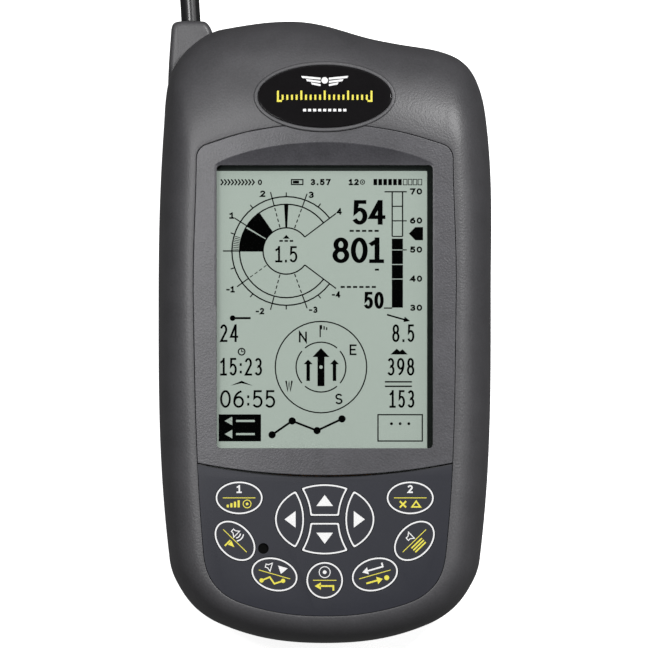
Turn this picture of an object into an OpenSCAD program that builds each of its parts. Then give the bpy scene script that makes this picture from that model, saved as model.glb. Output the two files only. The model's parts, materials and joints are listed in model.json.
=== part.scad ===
// Portable aviation GPS: a handheld flight computer that lies on its flat back, display up.
// Frame: +Z out of the display, +Y towards the antenna end, origin on the flat back, in the middle.

/* [Housing] */
// Width of the housing at its widest
body_w = 96; // [94:1:98]
// Length of the housing, without the antenna
body_l = 180; // [178:1:182]
// Depth of the housing, from the flat back to the crown of the front
body_d = 42; // [42:0.5:44]
// Height of the seam between the two housing halves
seam_z = 22; // [21.5:0.5:22.5]
// Thickness of the housing walls
wall = 2.4; // [2.2:0.1:2.6]
// How far the flat back is set in from the outline
back_inset = 11.5; // [10:0.5:12]
// Drop of the front per square millimetre away from its middle line
crown = 0.0014; // [0.0012:0.0001:0.0014]

/* [Display] */
// Width of the display window
window_w = 62.4; // [58:0.2:62.4]
// Length of the display window
window_l = 81.7; // [76:0.1:81.7]
// Depth of the scoop at the window's upper edge
scoop_drop = 2.6; // [2:0.1:2.6]
// Slope of the scoop above the window, in degrees
scoop_angle = 22; // [18:1:24]

/* [Keypad] */
// Travel of a key
key_travel = 0.4; // [0.2:0.1:0.4]
// Half the length of an oval key
key_a = 6.85; // [6:0.05:7]
// Half the width of an oval key
key_b = 4.8; // [4:0.1:5]
// Gap between a key and the keypad foil
key_gap = 0.12; // [0.1:0.01:0.2]

/* [Antenna] */
// Length of the antenna outside the housing
antenna_l = 75; // [60:1:90]
// Radius of the antenna
antenna_r = 2.8; // [2.7:0.05:2.8]
// Lean of the antenna to the side, in degrees
antenna_lean = 3.5; // [3:0.5:4]

/* [Mounting holes] */
// Distance between the mounting inserts across the back
mount_dx = 30.2; // [28:0.1:32]
// Distance between the mounting inserts along the back
mount_dy = 38.1; // [36:0.1:39]

/* [Hidden] */
$fn = 48;
KEYS = ["key_left_top", "key_right_top", "key_left_side", "key_right_side", "key_left_low", "key_right_low",
        "key_middle_low", "key_up", "key_down", "key_left", "key_right"];

hw = body_w / 2;
hl = body_l / 2;
eps = 0.01;

// Closed outlines: x and y as shares of the half width and half length, then the direction of travel.
// The two have matching knots, so that a surface can be drawn from one to the other.
outline_knots = [
    [0, -1, 0], [0.623, -0.939, 23], [0.862, -0.829, 59], [0.933, -0.732, 83], [1, 0.13, 90],
    [0.971, 0.683, 97], [0.91, 0.812, 114], [0.756, 0.892, 158], [0.454, 0.926, 170], [0.183, 0.958, 163],
    [-0.208, 1, 180], [-0.602, 0.976, 190], [-0.812, 0.915, 223], [-0.944, 0.795, 259],
    [-0.969, 0.651, 266], [-1, 0.09, 270], [-0.933, -0.732, 277], [-0.862, -0.829, 301],
    [-0.623, -0.939, 337]];
panel_knots = [
    [0, -0.919, 0], [0.437, -0.888, 16], [0.646, -0.82, 47], [0.729, -0.705, 82], [0.79, 0.111, 90],
    [0.772, 0.535, 91], [0.758, 0.584, 122], [0.71, 0.604, 162], [0.396, 0.65, 170], [0.167, 0.667, 175],
    [-0.167, 0.667, 185], [-0.437, 0.647, 191], [-0.71, 0.604, 198], [-0.758, 0.584, 238],
    [-0.772, 0.535, 269], [-0.79, 0.089, 270], [-0.729, -0.705, 278], [-0.646, -0.82, 313],
    [-0.437, -0.888, 344]];
steps = 4;          // points on each stretch between two knots
handle = 0.36;      // length of a curve's handles, as a share of the stretch
panel_hw = 0.79 * hw;
panel_mid_y = -0.126 * hl;
panel_hl = 0.793 * hl;

front_power = 2.2;  // roundness of the front's edge
back_power = 2.5;   // roundness of the back's edge
rim_z = body_d - 1.85;      // rim round the keypad
foil_z = rim_z - 0.15;      // top of the keypad foil
ledge_z = body_d - 4;       // shelf that carries the bezel and the keypad
ledge_under_z = ledge_z - 2;
ledge_w = 2.5;

bezel_low_y = -0.459 * hl;  // lowest point of the bezel's bottom edge
bezel_edge_r = 192;
bezel_gap = 0.15;
window_mid_y = 0.082 * hl;
window_top_y = window_mid_y + window_l / 2;
pane_low = [-32.8, -35.5, ledge_z - 0.9];   // corners of the clear window
pane_high = [32.8, 49.3, ledge_z + 0.6];
pane_gap = 0.2;
glass_low = [-33, -41, ledge_z - 3.6];      // corners of the display glass
glass_high = [33, 49.2, pane_low.z - 0.1];
tray_hw = 35;
tray_t = 3.4;
lip_t = 1.9;                // rim of the tray beside the glass

pad_y = 0.757 * hl;         // oval pad of the badge
pad_a = 20.5;
pad_b = 10.3;
pad_lean = 8.5;
badge_a = 19.3;
badge_b = 9.1;
badge_t = 0.9;

dpad_y = -0.6 * hl;
dpad_a = 14.4;
dpad_b = 10.2;
dpad_arc_x = 20.9;          // centre of the arcs that part the arrow keys
side_arc_r = 15;
mid_arc_r = 16.7;
mid_gap = 0.95;             // half the gap between the up and down keys
KEY_PLACES = [[-24.7, -47.8, 0], [24.7, -47.8, 0], [-25.9, -60.2, -44], [25.9, -60.2, 44],
        [-14.5, -69.9, -16], [14.5, -69.9, 16], [0, -71.6, 0]];
round_key_r = 5.35;
key_dome_h = 0.3;
key_board_z = ledge_z - 0.8;    // top of the keypad board, which carries the domes
key_board_t = 1;
dome_r = 2.5;
dome_h = 0.5;
plunger_h = 0.15;
plunger_r = 1.2;
flange_low = key_board_z + dome_h + 0.05 + key_travel + plunger_h;
flange_t = 0.9;
flange_w = 0.35;
spacer_t = 1.5;
foil_t = 0.5;
sound_hole = [-17.7, -62.4];

board_z = seam_z - 0.8;     // underside of the main board
board_t = 1.6;
board_top = board_z + board_t;
board_hw = 30;

// Housing screws: place, top of the front post and foot of the rear post
SCREWS = [for (x = [-1, 1])
    each [[35 * x, 57.5, 37.5, 2], [39.2 * x, -2, 36.05, 5], [35 * x, -60, 36.05, 2]]];
BOARD_SCREWS = [for (x = [-26.5, 26.5], y = [66, -60]) [x, y]];
well_z = 7.5;

cell_r = 7.1;
cell_l = 49.2;
cell_nub = 1.3;
cell_pitch = 15;
cell_z = 10.2;
bay_hw = 23;
bay_low_y = -69;
bay_top_y = -12;
bay_wall = 6.5;
bay_roof = 18.5;
door_hw = 26;
door_t = 2;
door_top_y = bay_top_y - 0.6;
tongue = 1.4;

mount_y = 40;
insert_r = 2.8;
insert_l = 8;

port_y = 21;                // pocket for the sockets, on the right side
port_l = 26;
port_z = 14;
port_h = 9;
port_floor_x = 44.2;
hinge_x = 45.4;
hinge_y = 32.6;
flap_t = 2.2;
data_y = 26;
audio_y = 14;

mouth = [-38.75, 89.5, 13.5];   // where the antenna leaves the housing
socket_r = 3.8;
socket_l = 12.5;

// ---- outlines and lofts ----
function bezier(a, b, c, d, t) =
    pow(1 - t, 3) * a + 3 * pow(1 - t, 2) * t * b + 3 * (1 - t) * t * t * c + pow(t, 3) * d;

function closed_curve(knots) = [
    for (i = [0 : len(knots) - 1])
        let (k = knots[i], n = knots[(i + 1) % len(knots)],
             a = [k.x * hw, k.y * hl], d = [n.x * hw, n.y * hl], reach = handle * norm(d - a),
             b = a + reach * [cos(k.z), sin(k.z)], c = d - reach * [cos(n.z), sin(n.z)])
        for (j = [0 : steps - 1]) bezier(a, b, c, d, j / steps)];

outline = closed_curve(outline_knots);
panel = closed_curve(panel_knots);

function inset_outline(d) = [for (p = outline) [p.x * (1 - d / hw), p.y * (1 - d / hl)]];
function inset_panel(d) = [for (p = panel)
    [p.x * (1 - d / panel_hw), panel_mid_y + (p.y - panel_mid_y) * (1 - d / panel_hl)]];
function at_z(pts, z) = [for (p = pts) [p.x, p.y, z]];

// Height of the front along the panel's edge: crowned beside the display, level beside the keypad.
function edge_z(p) = p.y > bezel_low_y + 4 ? body_d - crown * p.x * p.x : rim_z;

// One ring of the front, from the seam (turn 0) over the rounded edge to the panel (turn 90).
function front_ring(turn, from, skin) = [
    for (i = [0 : len(panel) - 1])
        let (s = 1 - pow(cos(turn), 2 / front_power), h = pow(sin(turn), 2 / front_power),
             p = from[i] * (1 - s) + panel[i] * s)
        [p.x, p.y, seam_z + (edge_z(panel[i]) - skin - seam_z) * h]];

// One ring of the back, from the flat back (turn 90) up to the seam (turn 0).
function back_ring(turn, skin) =
    let (d = skin + back_inset * (1 - pow(cos(turn), 2 / back_power)),
         h = 1 - pow(sin(turn), 2 / back_power))
    at_z(inset_outline(d), skin + (seam_z - skin) * h);

function quad(a, b, n) = [for (i = [0 : n - 1]) let (j = (i + 1) % n)
    each [[a + i, b + i, b + j], [a + i, b + j, a + j]]];
function flatten(rings) = [for (r = rings) each r];

// A solid whose surface runs through the rings in turn and back to the first.
module ring_loft(rings) {
    n = len(rings[0]);
    m = len(rings);
    polyhedron(flatten(rings), [for (r = [0 : m - 1]) each quad(r * n, ((r + 1) % m) * n, n)]);
}

// A solid through the rings in turn, closed at both ends round a middle point.
module capped_loft(rings, first, last) {
    n = len(rings[0]);
    m = len(rings);
    polyhedron(concat(flatten(rings), [first, last]), concat(
        [for (r = [0 : m - 2]) each quad(r * n, (r + 1) * n, n)],
        [for (i = [0 : n - 1]) [n * m, i, (i + 1) % n]],
        [for (i = [0 : n - 1]) [n * m + 1, (m - 1) * n + (i + 1) % n, (m - 1) * n + i]]));
}

// A round wire of radius r along a path, with n sides; side is a direction that the path never takes.
module wire(path, r, n, side) {
    last = len(path) - 1;
    rings = [for (i = [0 : last])
        let (t = path[min(i + 1, last)] - path[max(i - 1, 0)],
             u = cross(t, side) / norm(cross(t, side)), v = cross(t, u) / norm(t))
        [for (k = [0 : n - 1]) path[i] + r * (cos(360 * k / n) * u + sin(360 * k / n) * v)]];
    capped_loft(rings, path[0], path[last]);
}

function oval(a, b, n = 48) = [for (i = [0 : n - 1]) [a * cos(360 * i / n), b * sin(360 * i / n)]];
function round_rect(w, l, r, n = 6) = [
    for (q = [0 : 3]) let (c = [[1, 1], [-1, 1], [-1, -1], [1, -1]][q])
        for (i = [0 : n]) [c.x * (w / 2 - r) + r * cos(90 * (q + i / n)),
                           c.y * (l / 2 - r) + r * sin(90 * (q + i / n))]];

module prism(pts, z, h) {
    translate([0, 0, z]) linear_extrude(h) polygon(pts);
}
module block(low, high) {
    translate(low) cube(high - low);
}
module drum(x, y, z, h, r) {
    translate([x, y, z]) cylinder(r = r, h = h, $fn = r > 100 ? 720 : $fn);
}
// Round things along the antenna's axis, measured from the housing's mouth.
module along_antenna(from, length, r) {
    translate(mouth) rotate([0, 0, antenna_lean]) rotate([-90, 0, 0])
        translate([0, 0, from]) cylinder(r = r, h = length);
}

// ---- housing ----
module back_solid() {
    capped_loft([for (t = [90 : -15 : 0]) back_ring(t, 0)], [0, 0, 0], [0, 0, seam_z]);
}

module front_shell() color("#5f5f63") {
    outer = inset_outline(0);
    difference() {
        union() {
            ring_loft(concat(
                [for (t = [0 : 15 : 90]) front_ring(t, outer, 0)],
                [at_z(panel, ledge_z), at_z(inset_panel(ledge_w), ledge_z),
                 at_z(inset_panel(ledge_w), ledge_under_z), at_z(panel, ledge_under_z)],
                [for (t = [72 : -24 : 0]) front_ring(t, inset_outline(wall), wall)],
                [at_z(inset_outline(1.7), seam_z), at_z(inset_outline(1.7), seam_z + 1),
                 at_z(inset_outline(0.7), seam_z + 1), at_z(inset_outline(0.7), seam_z)]));
            badge_pad();
            for (p = SCREWS) drum(p.x, p.y, seam_z, p.z - seam_z, 3.6);
        }
        for (p = SCREWS) drum(p.x, p.y, seam_z - 1, 11, 1.25);
        badge_place(-badge_t + 0.1) linear_extrude(3) polygon(oval(badge_a + 0.1, badge_b + 0.1));
    }
}

// The badge's pad leans back with the top of the housing.
module badge_place(z) {
    translate([0, pad_y, body_d - 0.75]) rotate([-pad_lean, 0, 0]) translate([0, 0, z]) children();
}
module badge_pad() {
    badge_place(-4) linear_extrude(4) polygon(oval(pad_a, pad_b));
}

module badge_plate() color("#141416") {
    badge_place(-badge_t + 0.1) linear_extrude(badge_t) polygon(oval(badge_a, badge_b));
}

module rear_shell() color("#58585c") {
    difference() {
        union() {
            difference() {
                back_solid();
                capped_loft(concat([for (t = [90 : -30 : 0]) back_ring(t, wall)],
                    [at_z(inset_outline(wall), seam_z + 1)]), [0, 0, wall], [0, 0, seam_z + 1]);
            }
            antenna_boss();
            battery_bay_walls();
            for (p = SCREWS) drum(p.x, p.y, p[3], seam_z - p[3], 4);
            for (p = BOARD_SCREWS) board_post(p);
            for (x = [-1, 1], y = [-1, 1])
                drum(x * mount_dx / 2, mount_y + y * mount_dy / 2, 1, insert_l + 0.5, insert_r + 1.8);
            intersection() {
                block([port_floor_x - 2.7, port_y - 15, 7], [hw, port_y + 15, 20.5]);
                back_solid();
            }
        }
        battery_bay();
        for (p = SCREWS) {
            drum(p.x, p.y, -1, well_z + 1, 2.8);
            drum(p.x, p.y, well_z - 1, seam_z, 1.45);
        }
        for (p = BOARD_SCREWS) drum(p.x, p.y, board_z - 6, 7, 0.95);
        for (x = [-1, 1], y = [-1, 1])
            drum(x * mount_dx / 2, mount_y + y * mount_dy / 2, -1, insert_l + 1.2, insert_r);
        port_pocket();
        along_antenna(-socket_l, socket_l - 1.6, socket_r + eps);
        along_antenna(-1.7, 5, socket_r + 0.6);
        along_antenna(-socket_l - 6, 8, 1.2);
    }
}

// A post for a board screw stands on the back, or on the battery bay's roof at the lower end.
module board_post(p) {
    foot = p.y > 0 ? 1 : bay_roof;
    drum(p.x, p.y, foot, board_z - foot, 3);
}

// Boss at the top left corner, which holds the antenna's socket.
module antenna_boss() {
    low = 4.5;
    intersection() {
        prism([[-45.6, 68], [-45.1, 76], [-44.6, 86.2], [-44, 88], [-42.4, 89.2], [-38.75, 89.6],
               [-35.2, 89.3], [-33.7, 88.2], [-33, 86.4], [-33.6, 84.6], [-38.6, 80.2], [-42.2, 75.4]],
              low, seam_z - low);
        translate([mouth.x, 60, 22.5]) rotate([-90, 0, 0]) cylinder(r = 18.2, h = 40);
    }
}

module battery_bay_walls() {
    block([-bay_hw - bay_wall, bay_low_y - 2, 1], [bay_hw + bay_wall, bay_top_y + 1.5, bay_roof + 1.5]);
    intersection() {
        block([-bay_hw - 5, -hl, 1.5], [bay_hw + 5, bay_top_y, 4.6]);
        back_solid();
    }
}

// Room for the cells, and the channel that the door slides in, open at the lower end.
module battery_bay() {
    block([-bay_hw, bay_low_y, -1], [bay_hw, bay_top_y, bay_roof]);
    block([-door_hw - 0.25, -hl - 5, -1], [door_hw + 0.25, bay_top_y - 0.3, door_t + 0.2]);
    block([-door_hw - tongue - 0.3, -hl - 5, 0.9], [door_hw + tongue + 0.3, bay_top_y - 0.3, door_t + 0.2]);
}

module port_pocket() {
    block([port_floor_x, port_y - port_l / 2, port_z - port_h / 2],
          [hw + 5, port_y + port_l / 2, port_z + port_h / 2]);
    block([port_floor_x - 4, data_y - 5.1, port_z - 2.8], [hw, data_y + 5.1, port_z + 2.8]);
    translate([port_floor_x - 4, audio_y, port_z]) rotate([0, 90, 0]) cylinder(r = 3.1, h = 5);
    drum(hinge_x, hinge_y, port_z - 5.7, 11.4, 0.52);
}

module battery_door() color("#58585c") {
    difference() {
        intersection() {
            union() {
                block([-door_hw, -hl - 5, 0], [door_hw, door_top_y, door_t]);
                block([-door_hw - tongue, -hl - 5, 1.1], [door_hw + tongue, door_top_y, door_t]);
            }
            back_solid();
        }
        for (i = [0 : 4]) block([-9, -30 + 2.2 * i, -1], [9, -28.9 + 2.2 * i, 0.5]);
    }
}

module housing_gasket() color("#1c1c1e") {
    ring_loft([at_z(inset_outline(0.75), seam_z), at_z(inset_outline(0.75), seam_z + 0.95),
               at_z(inset_outline(1.65), seam_z + 0.95), at_z(inset_outline(1.65), seam_z)]);
}

module housing_screws() color("#8f8f94") {
    for (p = SCREWS) difference() {
        union() {
            drum(p.x, p.y, well_z - 2.2, 2.2, 2.3);
            drum(p.x, p.y, well_z - 0.5, seam_z + 9 - well_z, 1.2);
        }
        drum(p.x, p.y, well_z - 2.4, 1.4, 1);
    }
}

module board_screws() color("#b9b9bd") {
    for (p = BOARD_SCREWS) {
        drum(p.x, p.y, board_top, 1.3, 1.9);
        drum(p.x, p.y, board_z - 5, board_t + 5.5, 0.9);
    }
}

module mount_inserts() color("#c9a24a") {
    for (x = [-1, 1], y = [-1, 1]) translate([x * mount_dx / 2, mount_y + y * mount_dy / 2, 0])
        difference() {
            cylinder(r = insert_r - 0.02, h = insert_l);
            drum(0, 0, -1, insert_l + 2, 1.65);
        }
}

// ---- display ----
module display_bezel() color("#66666b") {
    edge_y = bezel_low_y + bezel_edge_r;
    roof_r = 1 / (2 * crown);
    difference() {
        intersection() {
            prism(inset_panel(bezel_gap), ledge_z, body_d - ledge_z + 1);
            drum(0, edge_y, ledge_z, 10, bezel_edge_r - bezel_gap / 2);
            translate([0, -hl, body_d - roof_r]) rotate([-90, 0, 0]) drum(0, 0, 0, 2 * hl, roof_r);
        }
        prism([for (p = round_rect(window_w, window_l, 1.2)) p + [0, window_mid_y]], 0, body_d + 5);
        block(pane_low - [pane_gap, pane_gap, 10], pane_high + [pane_gap, pane_gap, 0]);
        translate([0, window_top_y, body_d - scoop_drop]) rotate([scoop_angle, 0, 0])
            block([-window_w / 2 - eps, -0.6, 0], [window_w / 2 + eps, 20, 5]);
        badge_place(-10) linear_extrude(20) polygon(oval(pad_a + bezel_gap, pad_b + bezel_gap));
    }
}

module display_window() color([0.8, 0.9, 0.85, 0.35]) {
    block(pane_low, pane_high);
}

module lcd_panel() color("#a1aea5") {
    block(glass_low, glass_high);
}

module lcd_tray() color("#2b2c2f") {
    low_y = glass_low.y - 1;
    high_y = glass_high.y + 1.8;
    block([-tray_hw, low_y, glass_low.z - tray_t], [tray_hw, high_y, glass_low.z]);
    for (x = [-tray_hw, tray_hw - lip_t])
        block([x, low_y, glass_low.z - 1], [x + lip_t, high_y, glass_low.z + 1.4]);
}

// A flat flex in the Y-Z plane, bent down from one board to another.
module flex(pts, x_low, x_high) {
    translate([x_low, 0, 0]) rotate([90, 0, 90]) linear_extrude(x_high - x_low) polygon(pts);
}

module lcd_flex() color("#b5772a") {
    top = glass_low.z + 1.4;
    foot = board_top;
    flex([[-41, top], [-43.8, top], [-44.6, top - 0.8], [-44.6, foot + 1], [-43.8, foot + 0.25],
          [-37, foot + 0.25], [-37, foot], [-43.9, foot], [-44.85, foot + 0.9], [-44.85, top - 0.7],
          [-43.9, top + 0.25], [-41, top + 0.25]], -18, 18);
}

// ---- keypad ----
module below_bezel(pts, z, h, gap) {
    difference() {
        prism(pts, z, h);
        drum(0, bezel_low_y + bezel_edge_r, z - 1, h + 2, bezel_edge_r + gap);
    }
}

// The shape of a key, grown by g all round, from z up by h.
module key_shape(i, z, h, g) {
    if (i < 7) {
        p = KEY_PLACES[i];
        translate([p.x, p.y, z]) rotate([0, 0, p.z]) linear_extrude(h)
            polygon(i < 6 ? oval(key_a + g, key_b + g) : oval(round_key_r + g, round_key_r + g));
    } else translate([0, dpad_y, z]) rotate([0, 0, [0, 180, 0, 180][i - 7]]) {
        if (i < 9) difference() {
            intersection() {
                linear_extrude(h) polygon(oval(dpad_a + g, dpad_b + g, 96));
                block([-12, mid_gap - g, 0], [12, 12, h]);
            }
            for (x = [-1, 1]) drum(x * dpad_arc_x, 0, -1, h + 2, mid_arc_r - g);
        } else intersection() {
            linear_extrude(h) polygon(oval(dpad_a + g, dpad_b + g, 96));
            drum(-dpad_arc_x, 0, 0, h, side_arc_r + g);
        }
    }
}

function key_middle(i) = i < 7 ? [KEY_PLACES[i].x, KEY_PLACES[i].y]
    : [[0, dpad_y + 5], [0, dpad_y - 5], [-9.7, dpad_y], [9.7, dpad_y]][i - 7];

module key(i) color("#44474f") {
    p = key_middle(i);
    key_shape(i, flange_low, foil_z - flange_low + key_dome_h, 0);
    key_shape(i, flange_low, flange_t, flange_w);
    drum(p.x, p.y, flange_low - plunger_h, flange_t, plunger_r);
}

module keypad_foil() color("#42454d") {
    difference() {
        below_bezel(inset_panel(bezel_gap), foil_z - foil_t, foil_t, bezel_gap / 2);
        for (i = [0 : 10]) key_shape(i, foil_z - foil_t - 1, foil_t + 2, key_gap);
        drum(sound_hole.x, sound_hole.y, foil_z - 2, 4, 1.55);
    }
}

module keypad_spacer() color("#3a3b3f") {
    z = foil_z - foil_t - spacer_t;
    difference() {
        below_bezel(inset_panel(0.2), z, spacer_t, 0.3);
        for (i = [0 : 6]) key_shape(i, z - 1, spacer_t + 2, 0.7);
        translate([0, dpad_y, z - 1]) linear_extrude(spacer_t + 2) polygon(oval(dpad_a + 0.8, dpad_b + 0.8));
        drum(sound_hole.x, sound_hole.y, z - 1, 4, 1.75);
    }
}

module dome_contacts() color("#c8c9cc") {
    for (i = [0 : 10]) translate([key_middle(i).x, key_middle(i).y, key_board_z])
        cylinder(r1 = dome_r, r2 = plunger_r, h = dome_h);
}

module keypad_board() color("#1f5a35") {
    z = key_board_z - key_board_t;
    difference() {
        below_bezel(inset_panel(ledge_w + 0.5), z, key_board_t, 3);
        drum(sound_hole.x, sound_hole.y, z - 1, 3, 1.6);
    }
}

module keypad_flex() color("#b5772a") {
    top = key_board_z - key_board_t - 0.05;
    foot = board_top;
    flex([[-62, top], [-56, top], [-55.2, top - 0.8], [-55.2, foot + 0.9], [-56, foot], [-60, foot],
          [-60, foot + 0.25], [-56.1, foot + 0.25], [-55.45, foot + 1], [-55.45, top - 1],
          [-56.1, top - 0.25], [-62, top - 0.25]], 8, 20);
}

module sounder() color("#222225") {
    difference() {
        drum(sound_hole.x, sound_hole.y, ledge_z - 8, 6.1, 5.5);
        drum(sound_hole.x, sound_hole.y, ledge_z - 4, 5, 1.2);
    }
}

module sounder_mesh() color("#0c0c0d") {
    drum(sound_hole.x, sound_hole.y, foil_z - foil_t - 0.6, 0.4, 1.7);
}

// ---- electronics ----
module main_board() color("#1f5a35") {
    difference() {
        prism([for (p = round_rect(2 * board_hw, 138, 4)) p + [0, 3]], board_z, board_t);
        for (p = BOARD_SCREWS) drum(p.x, p.y, board_z - 1, 5, 1.2);
    }
}

module processor_shield() color("#b4b6ba") {
    block([-13, 8, board_top], [15, 34, board_top + 2.6]);
}

module pressure_sensor() color("#d6d7da") {
    difference() {
        union() {
            drum(22, 56, board_top, 3, 3.4);
            drum(22, 56, board_top + 2.5, 2.5, 1.2);
        }
        drum(22, 56, board_top + 2, 4, 0.5);
    }
}

module radio_module() color("#b4b6ba") {
    block([-29.5, 50, board_top], [-17, 64, board_top + 3]);
}

module gps_board() color("#1f5a35") {
    block([-13.5, 50.5, board_top + 4.2], [13.5, 77.5, board_top + 5.4]);
    block([-11, 60, board_top], [11, 64, board_top + 4.3]);
}

module gps_patch_antenna() color("#d9cdb4") {
    block([-12.5, 51.5, board_top + 5.4], [12.5, 76.5, board_top + 9.4]);
}

module port_board() color("#1f5a35") {
    block([33, port_y - 12, 8.5], [34.2, port_y + 12, 20]);
    block([26, port_y - 6, board_z - 2.4], [33.1, port_y + 6, board_z]);
}

module data_socket() color("#b4b6ba") {
    difference() {
        block([34.2, data_y - 5, port_z - 2.7], [port_floor_x - 0.2, data_y + 5, port_z + 2.7]);
        block([38, data_y - 4, port_z - 1.6], [port_floor_x, data_y + 4, port_z + 1.6]);
    }
}

module audio_socket() color("#222225") {
    difference() {
        union() {
            block([34.2, audio_y - 3.5, port_z - 3.5], [41.2, audio_y + 3.5, port_z + 3.5]);
            translate([41, audio_y, port_z]) rotate([0, 90, 0]) cylinder(r = 3, h = port_floor_x - 41.2);
        }
        translate([36, audio_y, port_z]) rotate([0, 90, 0]) cylinder(r = 1.8, h = 10);
    }
}

module port_cover() color("#28282b") {
    difference() {
        union() {
            block([hinge_x - flap_t / 2, port_y - port_l / 2 + 0.3, port_z - port_h / 2 + 0.2],
                  [hinge_x + flap_t / 2, hinge_y, port_z + port_h / 2 - 0.2]);
            drum(hinge_x, hinge_y, port_z - port_h / 2 + 0.2, port_h - 0.4, flap_t / 2);
        }
        drum(hinge_x, hinge_y, port_z - 6, 12, 0.56);
        drum(hinge_x + 4.6, port_y - 9.5, port_z - 6, 12, 3.8);
    }
}

module port_cover_pin() color("#b9b9bd") {
    drum(hinge_x, hinge_y, port_z - 5.6, 11.2, 0.5);
}

// ---- antenna ----
module antenna_socket() color("#c9a24a") {
    difference() {
        along_antenna(-socket_l, socket_l - 1.6, socket_r);
        along_antenna(-10, 20, antenna_r + 0.07);
        along_antenna(-socket_l + 0.5, 5, 0.86);
    }
}

module antenna_seal() color("#1c1c1e") {
    difference() {
        along_antenna(-1.6, 1.5, socket_r + 0.5);
        along_antenna(-5, 10, antenna_r + 0.08);
    }
}

module antenna_rod() color("#1b1b1d") {
    along_antenna(-9.9, antenna_l + 9.9 - antenna_r, antenna_r);
    translate(mouth) rotate([0, 0, antenna_lean]) translate([0, antenna_l - antenna_r, 0])
        sphere(r = antenna_r);
    along_antenna(-11.8, 2.5, 0.8);
}

lead_route = [[-38.1, 76.9, 13.5], [-37.6, 75, 13.6], [-36.4, 72.6, 14.6], [-35, 70.2, 17.2],
        [-33.9, 68, 20.6], [-33, 64.5, 23.2], [-31.6, 61.6, 24.2], [-30, 61, 24.3]];
module antenna_lead() color("#3a2a20") {
    wire(lead_route, 0.65, 8, [1, 0.3, 0.2]);
}

// ---- batteries ----
cell_top = bay_top_y - 0.5 - cell_nub;
module battery_cells() color("#3f6f9c") {
    for (i = [-1 : 1]) translate([i * cell_pitch, 0, cell_z]) rotate([-90, 0, 0]) {
        translate([0, 0, cell_top - cell_l]) cylinder(r = cell_r, h = cell_l);
        translate([0, 0, cell_top - 1]) cylinder(r = 2.6, h = cell_nub + 1);
    }
}

contact_hw = 5.5;
contact_t = 0.4;
spring_turns = 4;
spring_wire_r = 0.4;
spring_low = bay_low_y + contact_t + spring_wire_r + 0.1;
spring_high = cell_top - cell_l - 0.5;
function spring_path(x) = [for (i = [0 : 40])
    let (t = i / 40, r = 4.6 - 2 * t, a = 360 * spring_turns * t)
    [x + r * cos(a), spring_low + (spring_high - spring_low) * t, cell_z + r * sin(a)]];
module battery_springs() color("#c8c9cc") {
    for (i = [-1 : 1]) wire(spring_path(i * cell_pitch), spring_wire_r, 6, [0, 1, 0]);
}

module battery_contacts() color("#c8c9cc") {
    for (i = [-1 : 1], y = [bay_low_y, bay_top_y - contact_t])
        translate([i * cell_pitch, y, cell_z])
            block([-contact_hw, 0, -contact_hw], [contact_hw, contact_t, contact_hw]);
}

module battery_leads() color("#9c2f2a") {
    for (x = [-20, -16]) {
        translate([x, bay_top_y + 1.5, board_z - 3]) rotate([-90, 0, 0]) cylinder(r = 0.7, h = 6);
        translate([x, bay_top_y + 7.5, board_z - 3]) sphere(r = 0.7);
        drum(x, bay_top_y + 7.5, board_z - 3, 3, 0.7);
    }
}

front_shell();
rear_shell();
housing_gasket();
housing_screws();
display_bezel();
display_window();
badge_plate();
lcd_panel();
lcd_tray();
lcd_flex();
keypad_foil();
keypad_spacer();
dome_contacts();
keypad_board();
keypad_flex();
sounder();
sounder_mesh();
main_board();
board_screws();
processor_shield();
pressure_sensor();
radio_module();
gps_board();
gps_patch_antenna();
port_board();
data_socket();
audio_socket();
port_cover();
port_cover_pin();
antenna_socket();
antenna_seal();
antenna_lead();
antenna_rod();
battery_cells();
battery_springs();
battery_contacts();
battery_leads();
battery_door();
mount_inserts();
for (i = [0 : len(KEYS) - 1]) key(i);
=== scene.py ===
"""Portable aviation GPS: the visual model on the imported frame, and its studio.

Shapes are worked out in millimetres and written to the meshes in metres. The object lies on its back:
+Z out of the display, +Y towards the antenna, origin on the flat back.
"""
import json
import math
from collections import namedtuple

import bmesh
import bpy
import numpy as np
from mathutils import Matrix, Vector


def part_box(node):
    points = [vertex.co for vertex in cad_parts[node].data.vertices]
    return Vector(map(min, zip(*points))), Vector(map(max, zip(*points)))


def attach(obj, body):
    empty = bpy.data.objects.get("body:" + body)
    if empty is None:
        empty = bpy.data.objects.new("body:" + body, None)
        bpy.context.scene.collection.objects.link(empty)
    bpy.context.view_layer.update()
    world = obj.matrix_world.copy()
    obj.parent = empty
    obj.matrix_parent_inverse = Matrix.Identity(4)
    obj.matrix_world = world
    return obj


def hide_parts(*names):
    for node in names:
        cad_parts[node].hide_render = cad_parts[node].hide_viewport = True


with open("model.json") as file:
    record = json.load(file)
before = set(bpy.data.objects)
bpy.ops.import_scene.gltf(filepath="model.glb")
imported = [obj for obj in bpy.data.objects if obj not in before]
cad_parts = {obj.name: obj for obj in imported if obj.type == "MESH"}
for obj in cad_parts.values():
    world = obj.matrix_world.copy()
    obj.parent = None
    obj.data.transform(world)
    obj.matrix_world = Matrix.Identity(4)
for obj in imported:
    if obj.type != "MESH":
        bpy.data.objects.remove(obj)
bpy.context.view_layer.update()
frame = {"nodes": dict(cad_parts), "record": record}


def box_mm(node):
    """Lowest and highest corner of a CAD node, in millimetres."""
    low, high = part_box(node)
    return np.array(low) * 1000, np.array(high) * 1000


# ---- driving sizes, read from the frame ----
SHELL_LOW, SHELL_HIGH = box_mm("front_shell")
BEZEL_LOW, BEZEL_HIGH = box_mm("display_bezel")
FOIL_LOW, FOIL_HIGH = box_mm("keypad_foil")
KEY_FOOT, KEY_HEAD = box_mm("key_up")

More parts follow.
